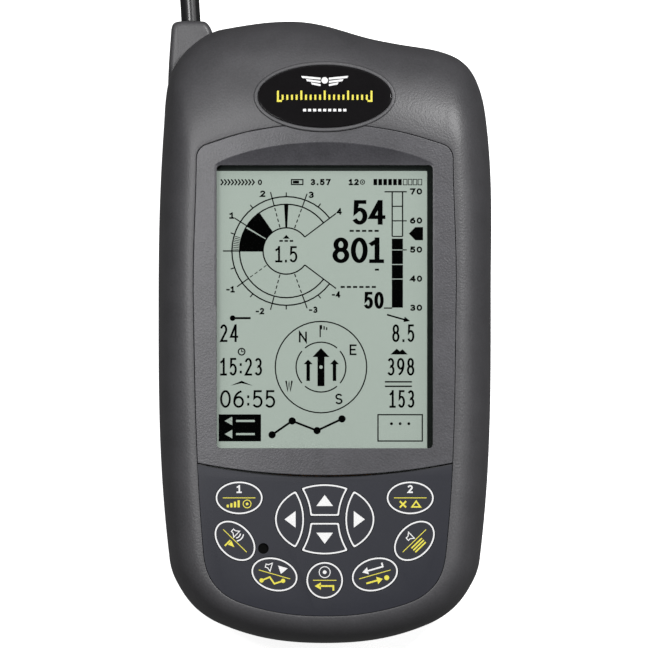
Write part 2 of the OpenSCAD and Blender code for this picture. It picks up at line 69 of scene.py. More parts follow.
HALF_W = SHELL_HIGH[0]
HALF_L = SHELL_HIGH[1]
SEAM_Z = SHELL_LOW[2]
TOP_Z = BEZEL_HIGH[2]
LEDGE_Z = BEZEL_LOW[2]
FOIL_Z = FOIL_HIGH[2]
RIM_Z = FOIL_Z + 0.15
GLASS_Z = box_mm("lcd_panel")[1][2]
KEY_TOP = KEY_HEAD[2]
KEY_LOW = KEY_FOOT[2] + 0.15
DOOR_END_Y = box_mm("battery_door")[1][1]

# ---- sizes of the design ----
WALL = 2.4
BACK_INSET = 11.5
CROWN = 0.0014
FRONT_POWER = 2.2
BACK_POWER = 2.5
SEAM_CHAMFER = 0.25
EDGE_ROUND = 0.2
GAP = 0.11
WINDOW_W = 62.4
WINDOW_L = 81.7
WINDOW_Y = 0.082 * HALF_L
WINDOW_TOP = WINDOW_Y + WINDOW_L / 2
SCOOP_DROP = 2.6
SCOOP_LENGTH = 6.6
BEZEL_ARC_R = 192
BEZEL_ARC_Y = -0.459 * HALF_L + BEZEL_ARC_R
PAD_Y = 0.757 * HALF_L
PAD_LEAN = math.radians(8.5)
PAD_A, PAD_B = 20.5, 10.3
BADGE_A, BADGE_B = 19.3, 9.1
BADGE_DOME = 0.35
OVAL_A, OVAL_B, ROUND_KEY_R = 6.85, 4.8, 5.35
DPAD_Y = -0.6 * HALF_L
DPAD_A, DPAD_B = 14.4, 10.2
SIDE_ARC_X, SIDE_ARC_R, MID_ARC_R, MID_GAP = 20.9, 15, 16.7, 0.95
SOUND_HOLE = (-17.7, -62.4)
SOUND_HOLE_R = 1.55
FILM_GROOVE = 0.45
KEY_GAP = 0.12
ROD_R = 2.8
MOUTH = np.array([-38.75, 89.5, 13.5])
ROD_LEAN = math.radians(3.5)
ROD_AXIS = np.array([-math.sin(ROD_LEAN), math.cos(ROD_LEAN), 0])
ROD_LENGTH = 75
SCREWS = [(x * side, y) for x, y in ((35, 57.5), (39.2, -2), (35, -60)) for side in (-1, 1)]
WELL_Z = 7.5
SCREW_HEAD_R, SCREW_HEAD_H, SCREW_R = 2.3, 2.2, 1.2
SCREW_SLOT, SCREW_SLOT_HALF_W = 1.35, 0.28
MOUNT_DX, MOUNT_DY, MOUNT_Y = 30.2, 38.1, 40
MOUNTS = [(x * MOUNT_DX / 2, MOUNT_Y + y * MOUNT_DY / 2) for x in (-1, 1) for y in (-1, 1)]
INSERT_R, INSERT_L, INSERT_BORE = 2.78, 8, 1.65
HOLE_R = 2.8
BAY_HALF_W, BAY_LOW, BAY_TOP, BAY_ROOF = 23, -69, -12, 18.5
CELL_PITCH, CELL_NUB, CELL_NUB_R = 15, 1.3, 2.6
SPRING_TURNS, SPRING_R, SPRING_TAPER, SPRING_WIRE_R = 4, 4.6, 2, 0.4
DOOR_HALF_W, DOOR_T, TONGUE = 26, 2, 1.4
PORT_X, PORT_Y, PORT_Z, PORT_L, PORT_H = 44.2, 21, 14, 26, 9
HINGE_X, HINGE_Y = 45.4, 32.6

# Closed outlines: x and y as shares of the half width and half length, then the direction of travel.
# The two have matching knots, so that a surface can be drawn from one to the other.
OUTLINE_KNOTS = [
    (0, -1, 0), (0.623, -0.939, 23), (0.862, -0.829, 59), (0.933, -0.732, 83), (1, 0.13, 90),
    (0.971, 0.683, 97), (0.91, 0.812, 114), (0.756, 0.892, 158), (0.454, 0.926, 170),
    (0.183, 0.958, 163), (-0.208, 1, 180), (-0.602, 0.976, 190), (-0.812, 0.915, 223),
    (-0.944, 0.795, 259), (-0.969, 0.651, 266), (-1, 0.09, 270), (-0.933, -0.732, 277),
    (-0.862, -0.829, 301), (-0.623, -0.939, 337)]
PANEL_KNOTS = [
    (0, -0.911, 0), (0.437, -0.88, 16), (0.646, -0.82, 47), (0.729, -0.705, 84), (0.79, 0.111, 89),
    (0.772, 0.535, 91), (0.758, 0.584, 122), (0.71, 0.604, 162), (0.396, 0.65, 170),
    (0.167, 0.667, 175), (-0.167, 0.667, 185), (-0.437, 0.647, 191), (-0.71, 0.604, 198),
    (-0.758, 0.584, 238), (-0.772, 0.535, 269), (-0.79, 0.089, 271), (-0.729, -0.705, 275),
    (-0.646, -0.82, 313), (-0.437, -0.88, 344)]
CURVE_STEPS = 20
HANDLE = 0.36
PANEL_HALF_W = 0.79 * HALF_W
PANEL_MID_Y = -0.126 * HALF_L
PANEL_HALF_L = 0.793 * HALF_L


# ---- flat curves ----
def closed_curve(knots):
    points = []
    for knot, after in zip(knots, knots[1:] + knots[:1]):
        a = np.array([knot[0] * HALF_W, knot[1] * HALF_L])
        d = np.array([after[0] * HALF_W, after[1] * HALF_L])
        reach = HANDLE * np.linalg.norm(d - a)
        b = a + reach * direction(knot[2])
        c = d - reach * direction(after[2])
        for t in np.arange(CURVE_STEPS) / CURVE_STEPS:
            points.append((1 - t) ** 3 * a + 3 * (1 - t) ** 2 * t * b
                          + 3 * (1 - t) * t * t * c + t ** 3 * d)
    return np.array(points)


def direction(degrees):
    return np.array([math.cos(math.radians(degrees)), math.sin(math.radians(degrees))])


def arc(x, y, rx, ry, start, end):
    """Points of an elliptic arc; start and end in degrees."""
    count = max(3, int(abs(end - start) / 7.5) + 1)
    angles = np.radians(np.linspace(start, end, count))
    return np.column_stack([x + rx * np.cos(angles), y + ry * np.sin(angles)])


def oval(a, b, count=128):
    angles = np.arange(count) * 2 * math.pi / count
    return np.column_stack([a * np.cos(angles), b * np.sin(angles)])


def rounded_box(half_w, half_l, r):
    corners = [((1, 1), 0), ((-1, 1), 90), ((-1, -1), 180), ((1, -1), 270)]
    return np.vstack([arc(sx * (half_w - r), sy * (half_l - r), r, r, turn, turn + 90)
                      for (sx, sy), turn in corners])


def at_z(points, z):
    return np.column_stack([points, np.broadcast_to(z, len(points))])


OUTLINE = closed_curve(OUTLINE_KNOTS)
PANEL = closed_curve(PANEL_KNOTS)


def inset_outline(d):
    return OUTLINE * [1 - d / HALF_W, 1 - d / HALF_L]


def inset_panel(d):
    middle = np.array([0, PANEL_MID_Y])
    return middle + (PANEL - middle) * [1 - d / PANEL_HALF_W, 1 - d / PANEL_HALF_L]


# ---- meshes ----
def tube(rings, closed=False, kind=0):
    """A shell through rings of equal count: closed back to the first ring, or capped at both ends."""
    count, last = len(rings[0]), len(rings) - 1
    faces = []
    for r in range(len(rings) if closed else last):
        a, b = r * count, (r + 1) % len(rings) * count
        faces += [(a + i, a + (i + 1) % count, b + (i + 1) % count, b + i) for i in range(count)]
    if not closed:
        faces += [tuple(range(count))[::-1], tuple(range(last * count, last * count + count))]
    return np.vstack(rings), faces, kind


def round_edge(r, top=0, step=15):
    """(inset, height) pairs up an edge that is rounded by r and ends level at the top."""
    return [(r * (1 - math.cos(a)), top - r * (1 - math.sin(a))) for a in np.radians(range(0, 91, step))]


def prism(points, low, high):
    return tube([at_z(points, low), at_z(points, high)])


def block(low, high):
    (x0, y0, z0), (x1, y1, z1) = low, high
    return prism(np.array([(x0, y0), (x1, y0), (x1, y1), (x0, y1)]), z0, z1)


def drum(x, y, low, high, r):
    return prism(oval(r, r, 72) + [x, y], low, high)


def turned(profile, origin, axis, kind=0, count=72):
    """A shell turned about an axis from (distance along the axis, radius) pairs."""
    axis = np.array(axis, float) / np.linalg.norm(axis)
    side = np.cross(axis, (0, 0, 1) if abs(axis[2]) < 0.9 else (0, 1, 0))
    side /= np.linalg.norm(side)
    up = np.cross(axis, side)
    circle = oval(1, 1, count)
    return tube([np.array(origin) + axis * along + r * (circle @ np.array([side, up]))
                 for along, r in profile], kind=kind)


def make(name, shells):
    """An object from shells in millimetres, with smooth shading."""
    points, faces, kinds = [], [], []
    start = 0
    for shell_points, shell_faces, kind in shells:
        points.append(shell_points)
        faces += [tuple(start + i for i in f) for f in shell_faces]
        kinds += [kind] * len(shell_faces)
        start += len(shell_points)
    mesh = bpy.data.meshes.new(name)
    mesh.from_pydata((np.vstack(points) / 1000).tolist(), [], faces)
    mesh.polygons.foreach_set("material_index", kinds)
    outward = bmesh.new()
    outward.from_mesh(mesh)
    bmesh.ops.recalc_face_normals(outward, faces=outward.faces)
    outward.to_mesh(mesh)
    outward.free()
    smooth(mesh)
    return add_object(name, mesh)


def add_object(name, data):
    thing = bpy.data.objects.new(name, data)
    bpy.context.scene.collection.objects.link(thing)
    return thing


def smooth(mesh):
    """Smooth shading, but for edges sharper than 32 degrees."""
    mesh.shade_smooth()
    mesh.set_sharp_from_angle(angle=math.radians(32))


def combine(piece, shells, operation):
    """Cuts or joins shells with a piece of one material, one by one."""
    for shell in shells:
        tool = make("tool", [shell])
        change = piece.modifiers.new("change", "BOOLEAN")
        change.operation = operation
        change.solver = "MANIFOLD"
        change.object = tool
        result = bpy.data.meshes.new_from_object(
            piece.evaluated_get(bpy.context.evaluated_depsgraph_get()))
        piece.modifiers.clear()
        piece.data = result
        piece.data.materials.clear()
        bpy.data.objects.remove(tool)
    smooth(piece.data)


def as_shell(piece):
    """The shell of an object, which is removed."""
    points = np.array([v.co for v in piece.data.vertices]) * 1000
    faces = [tuple(p.vertices) for p in piece.data.polygons]
    bpy.data.objects.remove(piece)
    return points, faces, 0


def place(piece, body, slot, materials, *nodes):
    """Gives a piece its body and materials, and hides the CAD nodes that it stands for."""
    for material in materials:
        piece.data.materials.append(material)
    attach(piece, body)
    if nodes:
        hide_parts(*nodes)


# ---- materials ----
def surface(name, colour, roughness, drift=0.1, patch=6, grain=0.5, relief=0.0, specular=0.5, **settings):
    """A node material. Colour drifts over patches and grains (sizes in mm); relief is a bump in mm."""
    material = bpy.data.materials.new(name)
    material.use_nodes = True
    nodes, links = material.node_tree.nodes, material.node_tree.links
    shader = nodes["Principled BSDF"]
    shader.inputs["Roughness"].default_value = roughness
    shader.inputs["Specular IOR Level"].default_value = specular
    for socket, value in settings.items():
        shader.inputs[socket.replace("_", " ")].default_value = value
    where = nodes.new("ShaderNodeTexCoord")
    broad = nodes.new("ShaderNodeTexNoise")
    broad.inputs["Scale"].default_value = 1000 / patch
    broad.inputs["Detail"].default_value = 4
    fine = nodes.new("ShaderNodeTexNoise")
    fine.inputs["Scale"].default_value = 1000 / grain
    fine.inputs["Detail"].default_value = 2
    both = nodes.new("ShaderNodeMath")
    both.operation = "ADD"
    ramp = nodes.new("ShaderNodeValToRGB")
    ramp.color_ramp.elements[0].position = 0.3
    ramp.color_ramp.elements[1].position = 0.7
    ramp.color_ramp.elements[0].color = (*[c * (1 - drift) for c in colour], 1)
    ramp.color_ramp.elements[1].color = (*[c * (1 + drift) for c in colour], 1)
    half = nodes.new("ShaderNodeMath")
    half.operation = "MULTIPLY"
    half.inputs[1].default_value = 0.5
    for noise in (broad, fine):
        links.new(where.outputs["Object"], noise.inputs["Vector"])
    links.new(broad.outputs["Fac"], both.inputs[0])
    links.new(fine.outputs["Fac"], both.inputs[1])
    links.new(both.outputs[0], half.inputs[0])
    links.new(half.outputs[0], ramp.inputs["Fac"])
    links.new(ramp.outputs["Color"], shader.inputs["Base Color"])
    if relief:
        bump = nodes.new("ShaderNodeBump")
        bump.inputs["Distance"].default_value = relief / 1000
        bump.inputs["Strength"].default_value = 1
        links.new(fine.outputs["Fac"], bump.inputs["Height"])
        links.new(bump.outputs["Normal"], shader.inputs["Normal"])
    return material


FRONT = surface("front_plastic", (0.054, 0.053, 0.057), 0.42, 0.2, 9, 0.55, 0.06)
# Painted light: the rear plastic is a lighter copy of the front plastic, so that the boss's top, which faces
# up into the lamps, reads brighter.
REAR_PAINTED_LIGHT = surface("rear_plastic_painted_light", (0.058, 0.057, 0.061), 0.42, 0.2, 9, 0.55, 0.06)
BEZEL = surface("bezel_plastic", (0.047, 0.046, 0.052), 0.38, 0.3, 7, 0.55, 0.05)
FOIL = surface("keypad_foil", (0.020, 0.021, 0.028), 0.4, 0.06, 12, 0.9, 0.006, specular=0.25)
# Painted shadow: the colour of the dark bands inside the window's top and right edges, where the walls shade
# the display.
WINDOW_SHADOW = surface("painted_window_shadow", (0.012, 0.016, 0.014), 0.8, 0.2, 3, 0.3, specular=0.1)
BADGE = surface("badge_gloss", (0.006, 0.0055, 0.006), 0.12, 0.15, 5, 0.6, specular=0.15)
WHITE_INK = surface("white_ink", (0.70, 0.70, 0.70), 0.5, 0.04, 1.5, 0.2)
YELLOW_INK = surface("yellow_ink", (0.66, 0.59, 0.045), 0.5, 0.06, 1.5, 0.2)
SCREEN_INK = surface("screen_ink", (0.0005, 0.0006, 0.0006), 0.8, 0.2, 1, 0.2, specular=0.0)
SCREEN = surface("screen_glass", (0.295, 0.345, 0.307), 0.8, 0.02, 14, 0.6, specular=0.1)
RUBBER = surface("cover_rubber", (0.022, 0.022, 0.024), 0.7, 0.12, 4, 0.4, 0.02)
ROD = surface("antenna_gloss", (0.009, 0.009, 0.010), 0.26, 0.15, 8, 0.5, specular=0.6)
SEAL = surface("seal_rubber", (0.012, 0.012, 0.013), 0.75, 0.12, 3, 0.3)
STEEL = surface("screw_steel", (0.35, 0.35, 0.37), 0.33, 0.12, 1.2, 0.2, 0.004, Metallic=1)
BRASS = surface("brass", (0.72, 0.48, 0.17), 0.3, 0.1, 1.5, 0.2, 0.004, Metallic=1)
LABEL = surface("cell_label", (0.035, 0.13, 0.30), 0.38, 0.06, 10, 0.5)
PANE = surface("clear_window", (0.02, 0.022, 0.02), 0.05, 0.01, 20, 1, Alpha=0.01)

# Finishes of the CAD nodes that are shown as they are: colour, roughness, drift, patch, grain
FINISHES = {
    "tray_plastic": ((0.03, 0.03, 0.033), 0.6, 0.12, 5, 0.5),
    "flex_film": ((0.45, 0.18, 0.03), 0.35, 0.1, 4, 0.4),
    "board_green": ((0.015, 0.1, 0.04), 0.45, 0.15, 5, 0.5),
    "ceramic": ((0.7, 0.6, 0.42), 0.55, 0.05, 4, 0.4),
    "socket_black": ((0.02, 0.02, 0.022), 0.4, 0.12, 3, 0.3),
    "lead_jacket": ((0.05, 0.03, 0.02), 0.5, 0.12, 2, 0.3),
}
CARRIED = {slot: surface(slot, *finish) for slot, finish in FINISHES.items()}
CARRIED.update({
    "display_glass": SCREEN,
    "window_clear": PANE,
    "dome_steel": surface("dome_steel", (0.75, 0.75, 0.77), 0.25, 0.08, 1.5, 0.2, Metallic=1),
    "mesh_black": surface("mesh_black", (0.003, 0.003, 0.003), 0.9, 0.3, 0.6, 0.15, specular=0.05),
    "screw_steel": STEEL,
    "shield_tin": surface("shield_tin", (0.6, 0.6, 0.62), 0.35, 0.1, 4, 0.3, Metallic=1),
    "cover_rubber": RUBBER,
    "seal_rubber": SEAL,
    "brass": BRASS,
    "cell_label": LABEL,
})


# ---- housing ----
def panel_edge_z():
    """Height along the panel's edge: crowned beside the display, level beside the keypad."""
    low_y = BEZEL_ARC_Y - BEZEL_ARC_R + 4
    t = np.clip((PANEL[:, 1] - low_y + 3) / 6, 0, 1)
    t = t * t * (3 - 2 * t)
    return RIM_Z + (TOP_Z - CROWN * PANEL[:, 0] ** 2 - RIM_Z) * t


def front_ring(turn, start, skin=0.0):
    """One ring of the front, from the seam (0 degrees) over the rounded edge to the panel (90)."""
    share = 1 - math.cos(math.radians(turn)) ** (2 / FRONT_POWER)
    rise = math.sin(math.radians(turn)) ** (2 / FRONT_POWER)
    flat = start * (1 - share) + PANEL * share
    return at_z(flat, SEAM_Z + (panel_edge_z() - skin - SEAM_Z) * rise)


def back_ring(turn, skin=0.0):
    """One ring of the back, from the flat back (90 degrees) up to the seam (0)."""
    inset = skin + BACK_INSET * (1 - math.cos(math.radians(turn)) ** (2 / BACK_POWER))
    rise = 1 - math.sin(math.radians(turn)) ** (2 / BACK_POWER)
    return at_z(inset_outline(inset), skin + (SEAM_Z - skin) * rise)


def front_housing():
    """The front shell: its rounded outside, the ledge under the panels, its inside and a seal groove."""
    outer = [at_z(inset_outline(SEAM_CHAMFER), SEAM_Z)]
    outer += [front_ring(turn, OUTLINE) for turn in np.linspace(0.5, 87.2, 34)]
    edge = [at_z(inset_panel(-inset), panel_edge_z() + z) for inset, z in round_edge(EDGE_ROUND)[::-1]]
    ledge = [at_z(PANEL, LEDGE_Z), at_z(inset_panel(2.5), LEDGE_Z),
             at_z(inset_panel(2.5), LEDGE_Z - 2), at_z(PANEL, LEDGE_Z - 2)]
    inner = [front_ring(turn, inset_outline(WALL), WALL) for turn in np.linspace(72, 0, 8)]
    groove = [at_z(inset_outline(d), SEAM_Z + z) for d, z in ((1.7, 0), (1.7, 1), (0.7, 1), (0.7, 0))]
    shells = [tube(outer + edge + ledge + inner + groove, closed=True)]
    place(make("housing_front", shells), "housing", "front_housing", [FRONT], "front_shell")


def on_badge(flat, z):
    """Points of the badge's plane, which leans back with the top of the housing."""
    y = flat[:, 1] * math.cos(PAD_LEAN) + z * math.sin(PAD_LEAN)
    up = -flat[:, 1] * math.sin(PAD_LEAN) + z * math.cos(PAD_LEAN)
    return np.column_stack([flat[:, 0], PAD_Y + y, TOP_Z - 0.75 + up])


def badge_mount():
    """The raised oval pad, with a shallow seat for the badge."""
    seat = PAD_A - BADGE_A - 0.1
    profile = [(0, -4)] + round_edge(0.4) + [(seat - 0.2, 0), (seat, -0.15), (seat, -0.8)]
    rings = [on_badge(oval(PAD_A - d, PAD_B - d), z) for d, z in profile]
    place(make("badge_mount", [tube(rings)]), "housing", "front_housing", [FRONT], "front_shell")


def badge_height(flat):
    share = np.hypot(flat[:, 0] / BADGE_A, flat[:, 1] / BADGE_B)
    return 0.1 + BADGE_DOME * (1 - share ** 2)


def on_dome(flat, rise):
    return on_badge(flat, badge_height(flat) + rise)


def badge_face():
    """The domed badge plate with its printed marks."""
    r = 0.25
    rings = [on_badge(oval(BADGE_A, BADGE_B), -0.8)]
    rings += [on_badge(oval(BADGE_A - d, BADGE_B - d), z) for d, z in round_edge(r, 0.1, 18)]
    rings += [on_dome(oval((BADGE_A - r) * s, (BADGE_B - r) * s), 0)
              for s in (0.96, 0.85, 0.7, 0.5, 0.25, 0.05)]
    place(make("badge_face", [tube(rings)] + badge_marks()), "housing", "badge_gloss",
          [BADGE, WHITE_INK, YELLOW_INK], "badge_plate")


def back_rings():
    """The outside of the back, from the flat back up to the seam."""
    return [back_ring(turn) for turn in np.linspace(90, 0.25, 40)]


def rear_additions():
    """What joins the rear shell: antenna boss, battery bay, port seat, mount bosses, screw posts."""
    bay_walls = block((-BAY_HALF_W - 6.5, BAY_LOW - 2, 1), (BAY_HALF_W + 6.5, BAY_TOP + 1.5, BAY_ROOF + 1.5))
    port_seat = block((PORT_X - 2.7, PORT_Y - 15, 7), (HALF_W - 3, PORT_Y + 15, 20.5))
    bosses = [drum(x, y, 1, INSERT_L + 0.5, 4.6) for x, y in MOUNTS]
    posts = [drum(x, y, 3.5, SEAM_Z - 0.1, 4) for x, y in SCREWS]
    return [antenna_boss(), bay_walls, port_seat, *bosses, *posts]


def rear_cuts():
    """What is cut from the rear shell: door track, bay, screw wells, mounts, ports, antenna's room."""
    track = [block((-DOOR_HALF_W - grow, -HALF_L - 5, low), (DOOR_HALF_W + grow, BAY_TOP - 0.3, DOOR_T + 0.2))
             for grow, low in ((0.25, -1), (TONGUE + 0.3, 0.9))]
    bay = block((-BAY_HALF_W, BAY_LOW, -1), (BAY_HALF_W, BAY_TOP, BAY_ROOF))
    wells = [drum(x, y, -1, WELL_Z, HOLE_R) for x, y in SCREWS]
    pilots = [drum(x, y, 7, SEAM_Z + 1, SCREW_R + 0.25) for x, y in SCREWS]
    mounts = [drum(x, y, -1, INSERT_L + 1.2, HOLE_R) for x, y in MOUNTS]
    cover_seat = block((PORT_X, PORT_Y - PORT_L / 2, PORT_Z - PORT_H / 2),
                       (HALF_W + 5, PORT_Y + PORT_L / 2, PORT_Z + PORT_H / 2))
    data_port = block((PORT_X - 4, PORT_Y - 0.1, PORT_Z - 2.8), (HALF_W, PORT_Y + 10.1, PORT_Z + 2.8))
    audio_port = turned([(0, 3.1), (5, 3.1)], (PORT_X - 4, PORT_Y - 7, PORT_Z), (1, 0, 0))
    rod_room = [along_rod([(-12.5, 3.82), (-1.65, 3.82)]), along_rod([(-1.7, 4.4), (3.3, 4.4)])]
    return [*track, bay, *wells, *pilots, *mounts, cover_seat, data_port, audio_port, *rod_room]


def rear_housing():
    outer = back_rings() + [at_z(inset_outline(SEAM_CHAMFER), SEAM_Z)]
    inner = [back_ring(turn, WALL) for turn in np.linspace(90, 0, 16)]
    inner.append(at_z(inset_outline(WALL), SEAM_Z + 1))
    piece = make("housing_rear", [tube(outer)])
    combine(piece, [tube(inner)], "DIFFERENCE")
    combine(piece, rear_additions(), "UNION")
    combine(piece, rear_cuts(), "DIFFERENCE")
    place(piece, "housing", "rear_housing", [REAR_PAINTED_LIGHT], "rear_shell")


def along_rod(profile):
    """A shell turned about the antenna's axis, from (distance outside the housing, radius) pairs."""
    return turned(profile, MOUTH, ROD_AXIS)


def soften(points):
    """Cuts the corners of a closed outline three times, so that it runs smoothly."""
    for _ in range(3):
        after = np.roll(points, -1, axis=0)
        points = np.stack([0.75 * points + 0.25 * after, 0.25 * points + 0.75 * after], axis=1).reshape(-1, 2)
    return points


def shrink(points, d):
    """A closed outline moved inwards by d, along the middle of each corner."""
    ahead = np.roll(points, -1, axis=0) - points
    ahead /= np.linalg.norm(ahead, axis=1)[:, None]
    left = np.column_stack([-ahead[:, 1], ahead[:, 0]])
    both = left + np.roll(left, 1, axis=0)
    area = np.sum(points[:, 0] * np.roll(points[:, 1], -1) - points[:, 1] * np.roll(points[:, 0], -1))
    return points + math.copysign(d, area) * 2 * both / np.sum(both * both, axis=1)[:, None]


def slab(points, low, high, r, both_ends=False):
    """A prism with its top edge rounded by r, and its lower edge too if both_ends is set."""
    rings = [at_z(shrink(points, inset), z) for inset, z in round_edge(r, high)]
    if both_ends:
        rings = [at_z(ring[:, :2], low + high - ring[0, 2]) for ring in rings[::-1]] + rings
    else:
        rings = [at_z(points, low)] + rings
    return tube(rings)


def antenna_boss():
    """The boss at the top left corner, round below, which holds the antenna's socket."""
    outline = soften(np.array([
        (-45.7, 60), (-45.3, 76), (-44.6, 85.5), (-44.35, 89), (-42.8, 90.2), (-36.4, 90.2), (-34, 89.9),
        (-32.2, 86.6), (-33.2, 84.2), (-38.6, 80), (-42, 72), (-43, 60)]))
    boss = make("boss", [slab(outline, 4.5, SEAM_Z, 1.6)])
    underside = turned([(0, 18.2), (40, 18.2)], (MOUTH[0], 55, 22.5), (0, 1, 0), count=144)
    combine(boss, [underside], "INTERSECT")
    return as_shell(boss)


def antenna():
    """The rod with its plug, round at the tip."""
    tip = [(ROD_LENGTH - ROD_R * (1 - math.sin(a)), ROD_R * max(math.cos(a), 0.02))
           for a in np.radians(range(0, 91, 9))]
    plug = [(-11.8, 0.6), (-11.6, 0.8), (-9.9, 0.8), (-9.9, ROD_R - 0.2), (-9.7, ROD_R)]
    place(make("antenna_whip", [along_rod(plug + tip)]), "antenna", "antenna_gloss", [ROD], "antenna_rod")


def antenna_seal():
    """The rubber ring round the rod's root: (distance along the axis, radius) of its section."""
    section = [(-1.6, 2.88), (-1.6, 4.3), (-0.25, 4.3), (-0.05, 4.1), (-0.05, 3.1), (-0.3, 2.88)]
    side = np.array([math.cos(ROD_LEAN), math.sin(ROD_LEAN), 0])
    circle = oval(1, 1, 72) @ np.array([side, (0, 0, 1)])
    rings = [MOUTH + ROD_AXIS * along + r * circle for along, r in section]
    ring = make("antenna_seal_ring", [tube(rings, closed=True)])
    place(ring, "housing", "seal_rubber", [SEAL], "antenna_seal")


def battery_door():
    """A slice of the back with a tongue on each side, and grooves to push it by."""
    piece = make("door_cover", [tube(back_rings())])
    cover = make("cover", [block((-DOOR_HALF_W, -HALF_L - 5, -0.1), (DOOR_HALF_W, DOOR_END_Y, DOOR_T))])
    tongues = block((-DOOR_HALF_W - TONGUE, -HALF_L - 4, 1.1), (DOOR_HALF_W + TONGUE, DOOR_END_Y, DOOR_T))
    combine(cover, [tongues], "UNION")
    combine(piece, [as_shell(cover)], "INTERSECT")
    grooves = [block((-9, -30 + 2.2 * i, -1), (9, -28.9 + 2.2 * i, 0.5)) for i in range(5)]
    combine(piece, grooves, "DIFFERENCE")
    place(piece, "battery_door", "rear_housing", [REAR_PAINTED_LIGHT], "battery_door")


# ---- display ----
def surround_top(x, y):
    """Height of the display's surround: crowned, with a sloping scoop above the window."""
    crown = TOP_Z - CROWN * x * x
    middle = np.maximum(1 - (x / (WINDOW_W / 2 + 0.6)) ** 2, 1e-6)
    reach = SCOOP_LENGTH * middle ** 0.8
    depth = np.clip((WINDOW_TOP + reach - y) / reach, 0, 1) * (y > WINDOW_Y)
    return crown - SCOOP_DROP * middle * (1 - (1 - depth) ** 1.3)


def edge_distance(points, centre, angles):
    """Distance from a centre to a closed outline, in each direction."""
    offset = points - centre
    turn = np.arctan2(offset[:, 1], offset[:, 0])
    order = np.argsort(turn)
    turn = turn[order]
    far = np.hypot(offset[:, 0], offset[:, 1])[order]
    turn = np.concatenate([turn - 2 * math.pi, turn, turn + 2 * math.pi])
    # the inverse distance is close to straight between points, even along a straight side
    return 1 / np.interp(angles, turn, np.tile(1 / far, 3))


def dense(points, count):
    """An outline with count points on each side."""
    after = np.roll(points, -1, axis=0)
    return np.vstack([points + (after - points) * t for t in np.arange(count) / count])


def arc_distance(centre, angles, r):
    """Distance from a centre to an arc about the bezel's arc centre, in each direction."""
    run = np.column_stack([np.cos(angles), np.sin(angles)])
    offset = np.array(centre) - [0, BEZEL_ARC_Y]
    along = run @ offset
    return -along + np.sqrt(np.maximum(along ** 2 - offset @ offset + r * r, 0))


def surround_angles(window, centre):
    """Directions from the window's centre, with more of them at the corners."""
    corners = np.arctan2(*(window - centre).T[::-1])
    low_corner = math.atan2(-37.5 - centre[1], PANEL_HALF_W)
    fan = np.linspace(-0.05, 0.05, 41)
    even = np.linspace(-math.pi, math.pi, 720, endpoint=False)
    angles = np.concatenate([even, corners, low_corner + fan, -math.pi - low_corner + fan])
    return np.unique(np.round(angles, 5))


def display_surround():
    """The bezel: rings from the window's edge out to the panel's edge, round at both edges."""
    centre = np.array([0, WINDOW_Y])
    window = rounded_box(WINDOW_W / 2, WINDOW_L / 2, 1.2) + centre
    angles = surround_angles(window, centre)
    inner = edge_distance(dense(window, 40), centre, angles)
    outer = np.minimum(edge_distance(dense(inset_panel(GAP), 2), centre, angles),
                       arc_distance(centre, angles, BEZEL_ARC_R - GAP / 2))
    run = np.column_stack([np.cos(angles), np.sin(angles)])
    r = 0.18
    under = LEDGE_Z + 0.62

    def ring(distance, rise):
        flat = centre + run * distance[:, None]
        return at_z(flat, surround_top(flat[:, 0], flat[:, 1]) + rise)

    rings = [at_z(centre + run * inner[:, None], under)]
    rings += [ring(inner + inset, z) for inset, z in round_edge(r)]
    rings += [ring(inner + r + (outer - inner - 2 * r) * t, 0) for t in np.linspace(0.02, 0.98, 60)]
    rings += [ring(outer - inset, z) for inset, z in round_edge(r)[::-1]]
    rings += [at_z(centre + run * outer[:, None], under)]
    piece = make("display_surround", [tube(rings, closed=True)])
    badge_room = tube([on_badge(oval(PAD_A + GAP, PAD_B + GAP), z) for z in (-10, 10)])
    combine(piece, [badge_room], "DIFFERENCE")
    place(piece, "housing", "bezel_plastic", [BEZEL], "display_bezel")


# ---- keypad ----
def oval_field(x, y, a, b):
    """About the distance outside an ellipse, in millimetres; negative inside."""
    near = np.hypot(x / a, y / b)
    slope = np.hypot(x / a ** 2, y / b ** 2)
    return near * (near - 1) / np.maximum(slope, 1e-9)


def meet(a, b):
    """The larger of two distances, rounded where they meet."""
    r = 0.45
    h = np.maximum(r - np.abs(a - b), 0) / r
    return np.maximum(a, b) + h * h * r / 4


def middle_key(x, y):
    """The upper key of the four-way pad, seen from the pad's centre."""
    field = meet(oval_field(x, y, DPAD_A, DPAD_B), MID_GAP - y)
    for side in (-1, 1):
        field = meet(field, MID_ARC_R - np.hypot(x - side * SIDE_ARC_X, y))
    return field


def side_key(x, y):
    """The left key of the four-way pad, seen from the pad's centre."""
    return meet(oval_field(x, y, DPAD_A, DPAD_B), np.hypot(x + SIDE_ARC_X, y) - SIDE_ARC_R)


def oval_key(x, y):
    return oval_field(x, y, OVAL_A, OVAL_B)


def round_key(x, y):
    return np.hypot(x, y) - ROUND_KEY_R


# Turn is in degrees; middle is the point from which the shape is drawn; the table KEYS is below.
Key = namedtuple("Key", "shape turn middle marks")


def key_origin(node):
    """The point of the face that a key's shape is measured from."""
    if KEYS[node].shape in (middle_key, side_key):
        return np.array([0, DPAD_Y])
    low, high = box_mm(node)
    return (low[:2] + high[:2]) / 2


def key_outline(node, inset):
    """The outline of a key, found by halving the distance to its edge in each direction."""
    count = 200
    shape, middle = KEYS[node].shape, KEYS[node].middle
    angles = np.arange(count) * 2 * math.pi / count
    near, far = np.zeros(count), np.full(count, 16.0)
    for _ in range(30):
        half = (near + far) / 2
        inside = shape(middle[0] + half * np.cos(angles), middle[1] + half * np.sin(angles)) < -inset
        near, far = np.where(inside, half, near), np.where(inside, far, half)
    return np.column_stack([middle[0] + near * np.cos(angles), middle[1] + near * np.sin(angles)])


def on_key(node, flat, z):
    turn = math.radians(KEYS[node].turn)
    spin = np.array([[math.cos(turn), math.sin(turn)], [-math.sin(turn), math.cos(turn)]])
    return at_z(key_origin(node) + flat @ spin, z)


